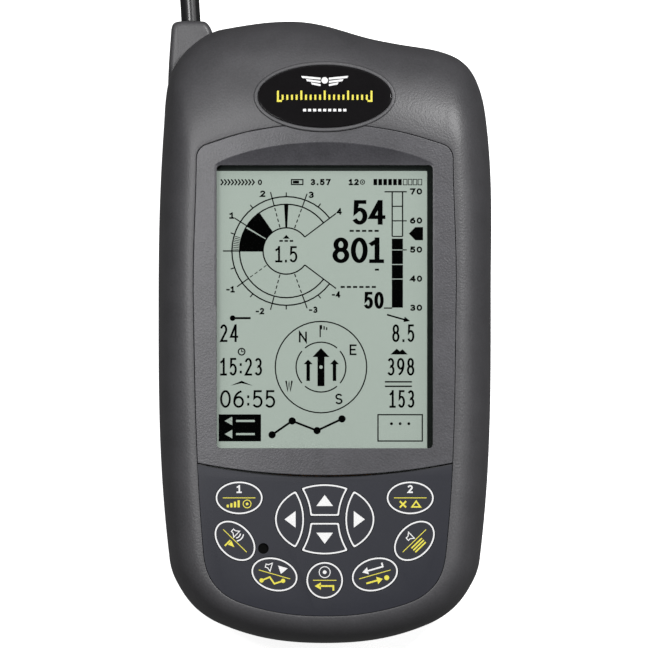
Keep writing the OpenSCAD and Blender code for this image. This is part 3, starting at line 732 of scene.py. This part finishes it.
def key_cap(node):
    """A key with a flange below the film, a printed border and its marks."""
    profile = [(-0.35, KEY_LOW), (-0.35, KEY_LOW + 0.9), (0, KEY_LOW + 0.9)]
    profile += round_edge(0.1, KEY_TOP, 30) + [(0.2, KEY_TOP)]
    cap = tube([on_key(node, key_outline(node, inset), z) for inset, z in profile])
    section = ((0.1, 0.02), (0.53, 0.02), (0.53, -0.05), (0.1, -0.05))
    border = tube([on_key(node, key_outline(node, inset), KEY_TOP + z) for inset, z in section],
                  closed=True, kind=WHITE)
    ink = Ink(lambda flat, rise: on_key(node, flat, KEY_TOP + rise), WHITE)
    KEYS[node].marks(ink)
    name = node.replace("key", "cap")
    place(make(name, [cap, border] + ink.shells), node, "key_cap", [FOIL, WHITE_INK, YELLOW_INK], node)


def keypad_film():
    """The film with its cut-outs; a groove parts it from the bezel's lower arc."""
    centre = np.array([0, BEZEL_ARC_Y])
    arc_r = BEZEL_ARC_R + FILM_GROOVE
    edge = inset_panel(GAP)
    lower = edge[np.linalg.norm(edge - centre, axis=1) > arc_r]
    lower = lower[np.argsort(np.arctan2(lower[:, 0], PANEL_MID_Y - 20 - lower[:, 1]))]
    reach = math.degrees(math.asin(lower[-1][0] / arc_r))
    turns = np.radians(np.linspace(reach, -reach, 80))
    upper = centre + arc_r * np.column_stack([np.sin(turns), -np.cos(turns)])
    piece = make("keypad_film", [slab(np.vstack([lower, upper]), FOIL_LOW[2], FOIL_Z, 0.08)])
    holes = [tube([on_key(node, key_outline(node, -KEY_GAP), z) for z in (FOIL_Z - 2, FOIL_Z + 1)])
             for node in KEYS]
    holes.append(drum(*SOUND_HOLE, FOIL_Z - 2, FOIL_Z + 1, SOUND_HOLE_R))
    combine(piece, holes, "DIFFERENCE")
    place(piece, "housing", "foil_film", [FOIL], "keypad_foil")


# ---- printed marks ----
# Kinds of ink, as places in a piece's list of materials: on keys and badge, and on the display
WHITE, YELLOW = 1, 2
# On the display the third kind is painted shadow, in bands along the window's top and right edges.
DARK, LIGHT, SHADOW_BAND = 0, 1, 2


class Ink:
    """Thin plates on a surface; lift(flat points, rise) gives their places."""

    def __init__(self, lift, kind):
        self.lift = lift
        self.kind = kind
        self.shells = []

    def add(self, rings, kind, closed=False):
        self.shells.append(tube(rings, closed, self.kind if kind is None else kind))

    def level(self):
        """Each plate stands a little higher than the one before, so that no two share a face."""
        return 0.02 + 0.0005 * (len(self.shells) % 40)

    def fill(self, points, kind=None):
        points = np.array(points, float)
        self.add([self.lift(points, rise) for rise in (-0.05, self.level())], kind)

    def line(self, path, width, kind=None, weight=1, cap=0):
        """A band along a path; closed if it ends where it starts; upright strokes are wider by weight.

        Open ends run on by cap, as a share of the width.
        """
        path = np.array(path, float) / [weight, 1]
        closed = np.allclose(path[0], path[-1])
        path = path[:-1] if closed else path
        ahead = np.roll(path, -1, axis=0) - path
        back = path - np.roll(path, 1, axis=0)
        if not closed:
            ahead[-1], back[0] = back[-1], ahead[0]
        ahead /= np.linalg.norm(ahead, axis=1)[:, None]
        back /= np.linalg.norm(back, axis=1)[:, None]
        if not closed:
            path[0] -= cap * width * ahead[0]
            path[-1] += cap * width * back[-1]
        both = np.column_stack([-ahead[:, 1] - back[:, 1], ahead[:, 0] + back[:, 0]])
        side = both * (width / np.maximum(np.sum(both * both, axis=1), 0.35)[:, None])
        left, right = (path + side) * [weight, 1], (path - side) * [weight, 1]
        top = self.level()
        edges = [self.lift(left, top), self.lift(right, top), self.lift(right, -0.05), self.lift(left, -0.05)]
        self.add([np.array([edge[i] for edge in edges]) for i in range(len(path))], kind, closed)

    def box(self, x0, y0, x1, y1, kind=None):
        self.fill([(x0, y0), (x1, y0), (x1, y1), (x0, y1)], kind)

    def frame(self, x0, y0, x1, y1, width):
        self.line([(x0, y0), (x1, y0), (x1, y1), (x0, y1), (x0, y0)], width)

    def disc(self, x, y, r, kind=None):
        self.fill(oval(r, r, 32) + [x, y], kind)

    def ring(self, x, y, r, width, kind=None):
        self.line(arc(x, y, r, r, 0, 360), width, kind)


def ring_dot(ink, x, y, r, kind=None):
    ink.ring(x, y, r - 0.12, 0.24, kind)
    ink.disc(x, y, 0.32 * r, kind)


def triangle(ink, x, y, half_w, half_h, turn=0, kind=None):
    spin = math.radians(turn)
    corners = np.array([(-half_w, -half_h), (half_w, -half_h), (0, half_h)])
    rotate = np.array([[math.cos(spin), math.sin(spin)], [-math.sin(spin), math.cos(spin)]])
    ink.fill(corners @ rotate + [x, y], kind)


def loudspeaker(ink, x, y, size):
    outline = np.array([(-1, -0.4), (-0.4, -0.4), (0.45, -1.05), (0.45, 1.05), (-0.4, 0.4), (-1, 0.4),
                        (-1, -0.4)])
    ink.line(outline * size + [x, y], 0.26)


def divider(ink):
    ink.line([(-4.7, 0), (4.7, 0)], 0.22, YELLOW)


def digit_mark(digit):
    def draw(ink):
        write(ink, digit, 0, 1.4, 1.5, 2.3, 0.44)
    return draw


def marks_left_top(ink):
    divider(ink)
    digit_mark("1")(ink)
    for i in range(4):
        tall = 0.8 + 0.42 * i
        ink.box(-3.6 + 1.05 * i, -2.75, -2.98 + 1.05 * i, tall - 2.75, YELLOW)
    ring_dot(ink, 2.3, -1.75, 1.25, YELLOW)


def marks_right_top(ink):
    divider(ink)
    digit_mark("2")(ink)
    ink.line([(-3.0, -2.75), (-1.2, -0.95)], 0.5, YELLOW)
    ink.line([(-3.0, -0.95), (-1.2, -2.75)], 0.5, YELLOW)
    ink.line([(0.5, -2.6), (1.7, -0.95), (2.9, -2.6), (0.5, -2.6)], 0.42, YELLOW)


def marks_left_side(ink):
    divider(ink)
    loudspeaker(ink, -1.5, 1.7, 1.15)
    for r, half in ((1.3, 42), (2.2, 38)):
        ink.line(arc(-1.3, 1.7, r, r, -half, half), 0.34)
    ink.line([(-1.1, -3.1), (-1.1, -0.8)], 0.44, YELLOW)
    triangle(ink, 0.2, -1.45, 0.75, 0.95, -90, YELLOW)


def marks_right_side(ink):
    divider(ink)
    loudspeaker(ink, 0, 1.75, 1.15)
    for i in range(3):
        ink.line([(-2.1, -0.95 - 0.8 * i), (2.1, -0.95 - 0.8 * i)], 0.42, YELLOW)


def marks_left_low(ink):
    divider(ink)
    loudspeaker(ink, -2.0, 1.75, 1.15)
    triangle(ink, 1.75, 1.7, 1.45, 1.05, 180)
    ink.line([(-3.1, -2.7), (-1.1, -1.1), (0.7, -2.6), (2.9, -1.1)], 0.46, YELLOW)
    for x, y in ((-3.1, -2.7), (2.9, -1.1)):
        ink.disc(x, y, 0.62, YELLOW)


def marks_right_low(ink):
    divider(ink)
    ink.line([(2.8, 2.7), (2.8, 1.55), (-2.0, 1.55)], 0.46)
    triangle(ink, -2.5, 1.55, 1.05, 0.85, 90)
    ink.line([(-3.1, -1.85), (0.6, -1.85)], 0.5, YELLOW)
    triangle(ink, 1.0, -1.85, 1.1, 0.85, -90, YELLOW)
    ink.disc(3.0, -1.85, 0.72, YELLOW)


def marks_middle_low(ink):
    ink.line([(-3.4, 0), (3.4, 0)], 0.22, YELLOW)
    ring_dot(ink, 0, 2.35, 1.7)
    ink.line([(2.5, -3.0), (2.5, -1.65), (-1.5, -1.65)], 0.5, YELLOW)
    triangle(ink, -2.0, -1.65, 1.05, 0.9, 90, YELLOW)


def arrow_mark(x, y, turn):
    """The white arrow of a key of the four-way pad, 4.8 mm wide and 3.2 mm high."""
    def draw(ink):
        triangle(ink, x, y, 2.4, 1.6, turn)
    return draw


KEYS = {
    "key_left_top": Key(oval_key, 0, (0, 0), marks_left_top),
    "key_right_top": Key(oval_key, 0, (0, 0), marks_right_top),
    "key_left_side": Key(oval_key, -44, (0, 0), marks_left_side),
    "key_right_side": Key(oval_key, 44, (0, 0), marks_right_side),
    "key_left_low": Key(oval_key, -16, (0, 0), marks_left_low),
    "key_right_low": Key(oval_key, 16, (0, 0), marks_right_low),
    "key_middle_low": Key(round_key, 0, (0, 0), marks_middle_low),
    "key_up": Key(middle_key, 0, (0, 5.2), arrow_mark(0, 5.45, 0)),
    "key_down": Key(middle_key, 180, (0, 5.2), arrow_mark(0, 5.45, 0)),
    "key_left": Key(side_key, 0, (-9.7, 0), arrow_mark(-10, 0, 90)),
    "key_right": Key(side_key, 180, (-9.7, 0), arrow_mark(-10, 0, 90)),
}

# Each glyph: its width, then its strokes, in a box 1 high.
GLYPHS = {
    "0": (0.6, [arc(0.3, 0.5, 0.3, 0.5, 90, 450)]),
    "1": (0.5, [[(0.27, 0), (0.27, 1)], [(0.02, 0.8), (0.2, 0.9)], [(0, 0), (0.5, 0)]]),
    "2": (0.56, [np.vstack([arc(0.27, 0.73, 0.27, 0.27, 150, -30), [(0, 0), (0.56, 0)]])]),
    "3": (0.57, [np.vstack([arc(0.27, 0.755, 0.26, 0.245, 135, -80),
                            arc(0.27, 0.265, 0.3, 0.265, 80, -135)])]),
    "4": (0.66, [[(0.5, 0), (0.5, 1)], [(0.46, 0.98), (0, 0.27), (0.66, 0.27)]]),
    "5": (0.56, [np.vstack([[(0.5, 1), (0.08, 1), (0.06, 0.56)], arc(0.26, 0.32, 0.3, 0.32, 120, -135)])]),
    "6": (0.6, [arc(0.3, 0.31, 0.3, 0.31, 0, 360), arc(0.62, 0.36, 0.62, 0.64, 108, 178)]),
    "7": (0.56, [[(0, 1), (0.56, 1), (0.2, 0)]]),
    "8": (0.6, [arc(0.3, 0.755, 0.25, 0.245, 0, 360), arc(0.3, 0.265, 0.3, 0.265, 0, 360)]),
    "9": (0.6, [arc(0.3, 0.69, 0.3, 0.31, 0, 360), arc(-0.02, 0.64, 0.62, 0.64, -72, -2)]),
    ":": (0.1, [[(0.05, 0.14), (0.05, 0.18)], [(0.05, 0.62), (0.05, 0.66)]]),
    ".": (0.1, [[(0.05, 0), (0.05, 0.04)]]),
    "-": (0.34, [[(0, 0.42), (0.34, 0.42)]]),
    "N": (0.62, [[(0, 0), (0, 1), (0.62, 0), (0.62, 1)]]),
    "E": (0.52, [[(0.52, 1), (0, 1), (0, 0), (0.52, 0)], [(0, 0.52), (0.42, 0.52)]]),
    "S": (0.56, [np.vstack([arc(0.28, 0.75, 0.27, 0.25, 40, 250), arc(0.28, 0.25, 0.28, 0.25, 70, -140)])]),
    "W": (0.8, [[(0, 1), (0.2, 0), (0.4, 1), (0.6, 0), (0.8, 1)]]),
}


def write(ink, text, middle, low, width, height, stroke, spacing=0.14, weight=1):
    """Figures centred on middle, fitted into a width and a height; weight thickens upright strokes."""
    glyphs = [GLYPHS[c] for c in text]
    gap = spacing * height
    upright = stroke * weight
    room = width - len(text) * upright - (len(text) - 1) * gap
    stretch = room / sum(g[0] for g in glyphs)
    x = middle - width / 2
    for glyph_w, strokes in glyphs:
        for points in strokes:
            points = np.array(points, float)
            spot = points * [stretch, height - stroke] + [x + upright / 2, low + stroke / 2]
            ink.line(spot, stroke, weight=weight, cap=0.5)
        x += glyph_w * stretch + upright + gap


def badge_marks():
    """Generic marks: a pair of wings, an instrument's scale and a dashed line."""
    ink = Ink(on_dome, WHITE)
    for side in (-1, 1):
        for i in range(3):
            length = 5.6 - 1.4 * i
            y = 5.4 - 0.95 * i
            ink.fill([(side * 1.2, y), (side * (1.2 + length), y + 0.55), (side * (0.9 + length), y - 0.1),
                      (side * 1.2, y - 0.6)])
    ink.disc(0, 4.6, 0.95)
    for i in range(-10, 11):
        tall = 2.7 if i % 5 == 0 else 1.5
        ink.line([(1.35 * i, -1.1), (1.35 * i, -1.1 + tall)], 0.55, YELLOW)
    ink.line([(-13.8, -1.4), (13.8, -1.4)], 0.55, YELLOW)
    for i in range(-4, 5):
        ink.line([(1.45 * i - 0.45, -4.1), (1.45 * i + 0.45, -4.1)], 0.75)
    return ink.shells


# ---- what the display shows ----
def ray(x, y, r0, r1, degrees):
    run = direction(degrees)
    return [np.array([x, y]) + r0 * run, np.array([x, y]) + r1 * run]


def dashed(ink, start, end, width):
    """A straight line of dashes."""
    dash = 0.8
    count = max(1, int(np.linalg.norm(end - start) / dash / 1.7))
    step = (end - start) / count
    for i in range(count):
        ink.line([start + step * (i + 0.1), start + step * (i + 0.7)], width)


def sector(ink, x, y, r0, r1, start, end):
    ink.fill(np.vstack([arc(x, y, r0, r0, start, end), arc(x, y, r1, r1, end, start)]))


def climb_dial(ink):
    """The dial of the climb rate: three rings open at the right, a filled sector and a needle."""
    x, y = -11.1, 23.5
    opening = 37
    for r in (15.7, 13.5, 6.7):
        ink.line(arc(x, y, r, r, opening, 360 - opening), 0.38)
    for side in (-1, 1):
        ink.line(ray(x, y, 6.7, 18, side * opening), 0.34)
    sector(ink, x, y, 6.8, 13.4, 180, 150.5)
    sector(ink, x, y, 6.8, 13.4, 148.5, 125)
    ink.fill([(x - 0.28, y + 6.8), (x + 0.28, y + 6.8), (x + 0.62, y + 13.5), (x - 0.62, y + 13.5)])
    for degrees in (105, 70, -70, -105):
        dashed(ink, *ray(x, y, 6.9, 13.4, degrees), 0.3)
        ink.line(ray(x, y, 13.4, 17.6, degrees), 0.32)
    dashed(ink, *ray(x, y, 6.9, 13.4, 216), 0.24)
    for degrees in (147.5, 216):
        ink.line(ray(x, y, 13.4, 17.6, degrees), 0.32)
    ink.line(ray(x, y, 6.7, 18.3, 180), 0.36)
    for degrees in (162, 128, 90, 54, -54, -90, -128, -162):
        ink.line(ray(x, y, 15.7, 16.9, degrees), 0.32)
    for i in range(8):
        ink.line(ray(x, y, 13.8, 15.4, 178 - 2 * i), 0.2)
    for label, dx, dy in (("1", -15.7, 9.3), ("2", -6.8, 15.6), ("3", 7.2, 15.3), ("4", 15.3, 10.5),
                          ("-1", -16.1, -12.0), ("-2", -7.6, -18.3), ("-3", 7.8, -17.9), ("-4", 14.4, -13.5)):
        write(ink, label, x + dx, y + dy, 0.95 * len(label) + 0.55, 1.85, 0.44)
    write(ink, "1.5", x, y - 3.3, 6.4, 4.7, 0.58, 0.12)
    for dx in (-1.5, 0, 1.5):
        ink.line([(x + dx - 0.5, y + 2.9), (x + dx + 0.5, y + 2.9)], 0.5)
    triangle(ink, x, y + 4.1, 1.0, 0.55)


def speed_tape(ink):
    """The tape of the airspeed: outlined above the level, filled below it, with a scale and a pointer."""
    left, right, low, high, level = 19.5, 22.5, 7.0, 40.6, 27.7
    pitch = (high - low) / 8
    for x in (left, right):
        ink.line([(x, level), (x, high)], 0.36)
    ink.line([(left - 2.2, high), (right + 1.2, high)], 0.36)
    for i in (6, 7):
        ink.line([(left, low + pitch * i), (right + (1.2 if i == 6 else 0), low + pitch * i)], 0.32)
    ink.line([(left, level), (right, level)], 0.32)
    edges = [level - 0.5] + [low + pitch * i for i in (4, 3, 2)] + [low]
    for top, bottom in zip(edges, edges[1:]):
        ink.box(left - 0.1, bottom + 0.13, right + 0.1, top - 0.13)
    ink.line([(left - 2.4, low), (left, low)], 0.36)
    ink.line([(right, low + pitch * 4), (right + 1.2, low + pitch * 4)], 0.32)
    for i, label in enumerate(("30", "40", "50", "60", "70")):
        write(ink, label, 26.4, low - 0.8 + 2 * pitch * i, 3.5, 1.8, 0.46, 0.2)
    ink.fill([(24.3, 28.5), (26.2, 26.6), (28.4, 26.6), (28.4, 30.4), (26.2, 30.4)])


def compass(ink):
    """The compass: a ring, a broken inner ring, its letters, three arrows and a windsock."""
    x, y = -1.07, -10.05
    ink.ring(x, y, 13.2, 0.36)
    for i in range(4):
        ink.line(arc(x, y, 7.2, 7.2, 50 + 90 * i, 130 + 90 * i), 0.36)
    for letter, at_x, at_y, wide in (("N", -6.3, -1.4, 2.3), ("E", 8.2, -5.1, 2.0), ("S", 4.1, -19.3, 2.1),
                                     ("W", -10.3, -15.6, 2.1)):
        write(ink, letter, at_x, at_y - 1.5, wide, 3.1, 0.48)
    for dx, half, foot, tip, head in ((0, 1.0, -5.5, 5.5, 2.45), (-3.7, 0.5, -4.0, 2.2, 1.3),
                                      (3.9, 0.5, -4.0, 2.2, 1.3)):
        neck = tip - head * 1.05
        arrow = np.array([(-half, foot), (half, foot), (half, neck), (head, neck), (0, tip), (-head, neck),
                          (-half, neck)])
        ink.fill(arrow + [x + dx, y])
    ink.disc(x, y, 0.5, LIGHT)
    ink.line([(-1.3, -1.4), (-1.3, 2.1)], 0.36)
    for i in range(3):
        ink.box(-1.1 + 0.75 * i, 0.85 - 0.1 * i, -0.75 + 0.75 * i, 2.1 - 0.32 * i)


def figures(ink):
    """The large figures right of the dial, then three rows: top, text and width at the left and right."""
    write(ink, "54", 12.8, 31.1, 9.5, 7.1, 1.1, 0.06, 1.28)
    write(ink, "801", 9.7, 20.0, 14.9, 7.4, 1.1, 0.06, 1.3)
    write(ink, "50", 14.2, 6.8, 5.7, 4.9, 0.8, 0.08, 1.25)
    rows = ((2.3, "24", 5.2, "8.5", 6.4), (-7.4, "15:23", 12.1, "398", 7.8),
            (-16.7, "06:55", 15.9, "153", 7.2))
    for top, left_text, left_w, right_text, right_w in rows:
        write(ink, left_text, -30.2 + left_w / 2, top - 5.1, left_w, 5.1, 0.6)
        write(ink, right_text, 25.9 - right_w / 2, top - 5.1, right_w, 5.1, 0.6)


def status_row(ink):
    """The row at the top: chevrons, a battery, figures and a bar of ten fields, six of them filled."""
    for i in range(10):
        x = -30.0 + 1.0 * i
        ink.line([(x, 44.2), (x + 0.65, 43.35), (x, 42.5)], 0.4)
    write(ink, "0", -18.7, 42.55, 1.2, 1.6, 0.36)
    ink.frame(-9.6, 42.7, -6.3, 44.1, 0.34)
    ink.box(-9.2, 43.0, -7.4, 43.8)
    write(ink, "3.57", -1.2, 42.5, 5.8, 1.8, 0.46, 0.2)
    write(ink, "12", 8.4, 42.5, 2.9, 1.8, 0.46, 0.2)
    ring_dot(ink, 10.9, 43.4, 0.75)
    for i in range(10):
        x = 14.1 + 1.42 * i
        if i < 6:
            ink.box(x, 42.5, x + 1.05, 44.3)
        else:
            ink.frame(x + 0.1, 42.6, x + 1.15, 44.2, 0.2)


def small_signs(ink):
    """Signs in place of words: thermometer, clock, wing, glide path, mountain, margin."""
    ink.line([(-26.2, 4.1), (-21.4, 4.1)], 0.6)
    ink.disc(-26.6, 4.1, 0.8)
    ink.ring(-24.0, -5.6, 0.95, 0.36)
    ink.line([(-24.0, -4.9), (-24.0, -5.6), (-23.4, -5.6)], 0.26)
    ink.fill([(-27.2, -15.4), (-24.0, -14.0), (-20.8, -15.4), (-24.0, -14.7)])
    ink.line([(18.0, 5.1), (23.6, 3.5)], 0.46)
    triangle(ink, 23.8, 3.5, 0.8, 0.9, -105)
    ink.fill([(19.0, -6.4), (20.8, -4.7), (21.7, -5.5), (22.5, -4.9), (24.0, -6.4)])
    for y in (-14.3, -15.6):
        ink.line([(17.4, y), (25.2, y)], 0.42)
    for x0, y, count in ((7.2, 29.3, 5), (14.5, 18.1, 1), (4.6, 13.1, 6)):
        for i in range(count):
            ink.line([(x0 + 1.8 * i, y), (x0 + 1.2 + 1.8 * i, y)], 0.55)


def soft_buttons(ink):
    """The row at the bottom: a filled box, a route line with its points, and a box with three dots."""
    ink.box(-30.6, -31.5, -18.4, -23.7)
    for y in (-25.6, -29.4):
        triangle(ink, -27.8, y, 1.25, 1.1, 90, LIGHT)
        ink.line([(-25.6, y), (-20.2, y)], 0.6, LIGHT)
    route = [(-15.2, -29.6), (-9.4, -25.6), (-2.2, -28.4), (5.0, -25.0)]
    for x, y in route:
        ink.disc(x, y, 1.05)
    ink.line(route, 0.6)
    ink.frame(15.4, -31.4, 28.2, -23.8, 0.36)
    for i in (-1, 0, 1):
        ink.disc(21.8 + 2.5 * i, -26.4, 0.42)


def window_shadow_bands(ink):
    """Painted shadow: dark bands on the display along the top and the right of the window, where the window's
    walls cast shade.
    """
    right, top = WINDOW_W / 2 + 1, WINDOW_TOP + 1
    ink.box(29.6, -35, right, top, SHADOW_BAND)
    ink.box(-right, 46.6, 29.6, top, SHADOW_BAND)


def screen_marks():
    ink = Ink(lambda flat, rise: at_z(flat, GLASS_Z + rise), DARK)
    for draw in (status_row, climb_dial, speed_tape, compass, figures, small_signs, soft_buttons,
                 window_shadow_bands):
        draw(ink)
    place(make("screen_marks", ink.shells), "housing", "display_glass", [SCREEN_INK, SCREEN, WINDOW_SHADOW])


# ---- small parts ----
def screws():
    """The housing screws, with cross recesses."""
    foot = WELL_Z - SCREW_HEAD_H
    profile = [(0, 1.5), (0.2, 2.1), (0.6, SCREW_HEAD_R), (SCREW_HEAD_H, SCREW_HEAD_R),
               (SCREW_HEAD_H, SCREW_R), (14, SCREW_R), (14.3, SCREW_R - 0.3)]
    piece = make("screw_set", [turned(profile, (x, y, foot), (0, 0, 1), count=48) for x, y in SCREWS])
    long, short = SCREW_SLOT, SCREW_SLOT_HALF_W
    slots = [block((x - half_x, y - half_y, foot - 0.8), (x + half_x, y + half_y, foot + 1.1))
             for x, y in SCREWS for half_x, half_y in ((long, short), (short, long))]
    combine(piece, slots, "DIFFERENCE")
    place(piece, "housing", "screw_steel", [STEEL], "housing_screws")


def inserts():
    """The brass inserts: (height, radius) of their section, turned about each mount's axis."""
    section = [(0.25, INSERT_R), (0, 2.55), (0, 1.95), (0.35, INSERT_BORE), (INSERT_L - 0.2, INSERT_BORE),
               (INSERT_L, INSERT_BORE + 0.2), (INSERT_L, INSERT_R)]
    circle = oval(1, 1, 48)
    shells = [tube([at_z(circle * r + [x, y], z) for z, r in section], closed=True) for x, y in MOUNTS]
    place(make("insert_set", shells), "housing", "brass", [BRASS], "mount_inserts")


def cells():
    """Three cells with labels; the steel nub is at the upper end."""
    low, high = box_mm("battery_cells")
    r = (high[2] - low[2]) / 2
    foot, shoulder = low[1], high[1] - CELL_NUB
    jacket = [(foot, r - 1.4), (foot, r - 0.5), (foot + 0.5, r), (shoulder - 0.6, r), (shoulder, r - 0.6),
              (shoulder, r - 1.6)]
    nub = [(shoulder - 1, CELL_NUB_R), (high[1] - 0.3, CELL_NUB_R), (high[1], CELL_NUB_R - 0.3)]
    shells = []
    for i in (-1, 0, 1):
        origin = (CELL_PITCH * i, 0, low[2] + r)
        shells.append(turned(jacket, origin, (0, 1, 0)))
        shells.append(turned(nub, origin, (0, 1, 0), kind=1))
    place(make("cell_set", shells), "housing", "cell_label", [LABEL, CARRIED["dome_steel"]], "battery_cells")


def springs():
    """Three springs that narrow towards the cells."""
    low, high = box_mm("battery_springs")
    z = (low[2] + high[2]) / 2
    end = SPRING_WIRE_R + 0.1
    t = np.linspace(0, 1, 145)
    turn = 2 * math.pi * SPRING_TURNS * t
    r = SPRING_R - SPRING_TAPER * t
    y = low[1] + end + (high[1] - low[1] - 2 * end) * t
    shells = []
    for i in (-1, 0, 1):
        path = np.column_stack([CELL_PITCH * i + r * np.cos(turn), y, z + r * np.sin(turn)])
        shells.append(coil(path, SPRING_WIRE_R))
    place(make("spring_set", shells), "housing", "dome_steel", [CARRIED["dome_steel"]], "battery_springs")


def coil(path, r):
    """A round wire along a coil that winds about Y."""
    ahead = np.gradient(path, axis=0)
    ahead /= np.linalg.norm(ahead, axis=1)[:, None]
    side = np.cross(ahead, (0, 1, 0))
    side /= np.linalg.norm(side, axis=1)[:, None]
    up = np.cross(ahead, side)
    circle = oval(r, r, 10)
    return tube([p + circle @ np.array([s, u]) for p, s, u in zip(path, side, up)])


def port_flap():
    """The port cover: round about its hinge, with a notch for the fingernail near its free end."""
    low, high = box_mm("port_cover")
    half_t = (high[0] - low[0]) / 2
    bevel = 0.3
    notch = arc(HINGE_X + 4.6, PORT_Y - 9.5, 3.8, 3.8, 212, 148)
    body = np.vstack([[(low[0] + bevel, low[1]), (high[0] - bevel, low[1]), (high[0], low[1] + bevel)], notch,
                      arc(HINGE_X, HINGE_Y, half_t, half_t, 0, 180), [(low[0], low[1] + bevel)]])
    # the arc's end can fall on the point after it
    outline = body[np.concatenate([[True], np.linalg.norm(np.diff(body, axis=0), axis=1) > 1e-6])]
    piece = make("port_flap", [slab(outline, low[2], high[2], 0.25, both_ends=True)])
    combine(piece, [drum(HINGE_X, HINGE_Y, PORT_Z - 6, PORT_Z + 6, 0.56)], "DIFFERENCE")
    place(piece, "port_cover", "cover_rubber", [RUBBER], "port_cover")


def carried_nodes():
    """Materials of the CAD nodes that are shown as they are."""
    slots = {part["node"]: part["material_slot"] for part in frame["record"]["subparts"]}
    for name, node in frame["nodes"].items():
        if node.hide_render:
            continue
        node.data.materials.clear()
        node.data.materials.append(CARRIED[slots[name]])


# ---- studio ----
def soft_light(name, at, size, power):
    """A rectangular lamp that points at the middle of the housing."""
    lamp = bpy.data.lights.new(name, "AREA")
    lamp.shape = "RECTANGLE"
    lamp.size, lamp.size_y = size
    lamp.energy = power
    light = add_object(name, lamp)
    light.location = at
    light.rotation_euler = (Vector((0, 0, 0.04)) - Vector(at)).to_track_quat("-Z", "Y").to_euler()


def white_floor():
    """White paper a little below the back, which lies flat on it."""
    half, drop = 6, -0.0001
    mesh = bpy.data.meshes.new("floor")
    mesh.from_pydata([(-half, -half, drop), (half, -half, drop), (half, half, drop), (-half, half, drop)], [],
                     [(0, 1, 2, 3)])
    floor = add_object("floor", mesh)
    mesh.materials.append(surface("floor_paper", (0.92, 0.92, 0.92), 0.9, 0.01, 200, 20, specular=0.0,
                                  Emission_Color=(1, 1, 1, 1), Emission_Strength=0.85))
    floor.visible_diffuse = False
    floor.visible_glossy = False


def lights():
    world = bpy.data.worlds.new("studio")
    world.use_nodes = True
    world.node_tree.nodes["Background"].inputs["Color"].default_value = (1, 1, 1, 1)
    world.node_tree.nodes["Background"].inputs["Strength"].default_value = 0.12
    bpy.context.scene.world = world
    soft_light("near_left", (-0.17, 0.07, 0.56), (0.12, 0.16), 1.25)
    soft_light("key", (0.52, 0.43, 1.1), (0.14, 0.14), 12)
    soft_light("side", (0.95, 0.1, 0.75), (0.4, 0.6), 1.5)
    soft_light("top", (0.1, 0.95, 0.85), (1.3, 0.35), 2.8)
    soft_light("left", (-0.75, 0.35, 0.8), (0.3, 0.6), 1.3)


def camera():
    """A very long lens straight above, so that the picture has no perspective."""
    distance, seen_width, sensor = 6.0, 0.18766, 36
    lens = bpy.data.cameras.new("front")
    lens.sensor_width = sensor
    lens.lens = sensor * distance / seen_width
    lens.clip_start, lens.clip_end = 0.1, 20
    view = add_object("front", lens)
    view.location = (-0.0002, 0.0024, SEAM_Z / 1000 + distance)
    bpy.context.scene.camera = view
    bpy.context.scene.view_settings.view_transform = "Standard"


front_housing()
badge_mount()
badge_face()
rear_housing()
antenna()
antenna_seal()
battery_door()
display_surround()
for key in KEYS:
    key_cap(key)
keypad_film()
screen_marks()
screws()
inserts()
cells()
springs()
port_flap()
carried_nodes()
white_floor()
lights()
camera()
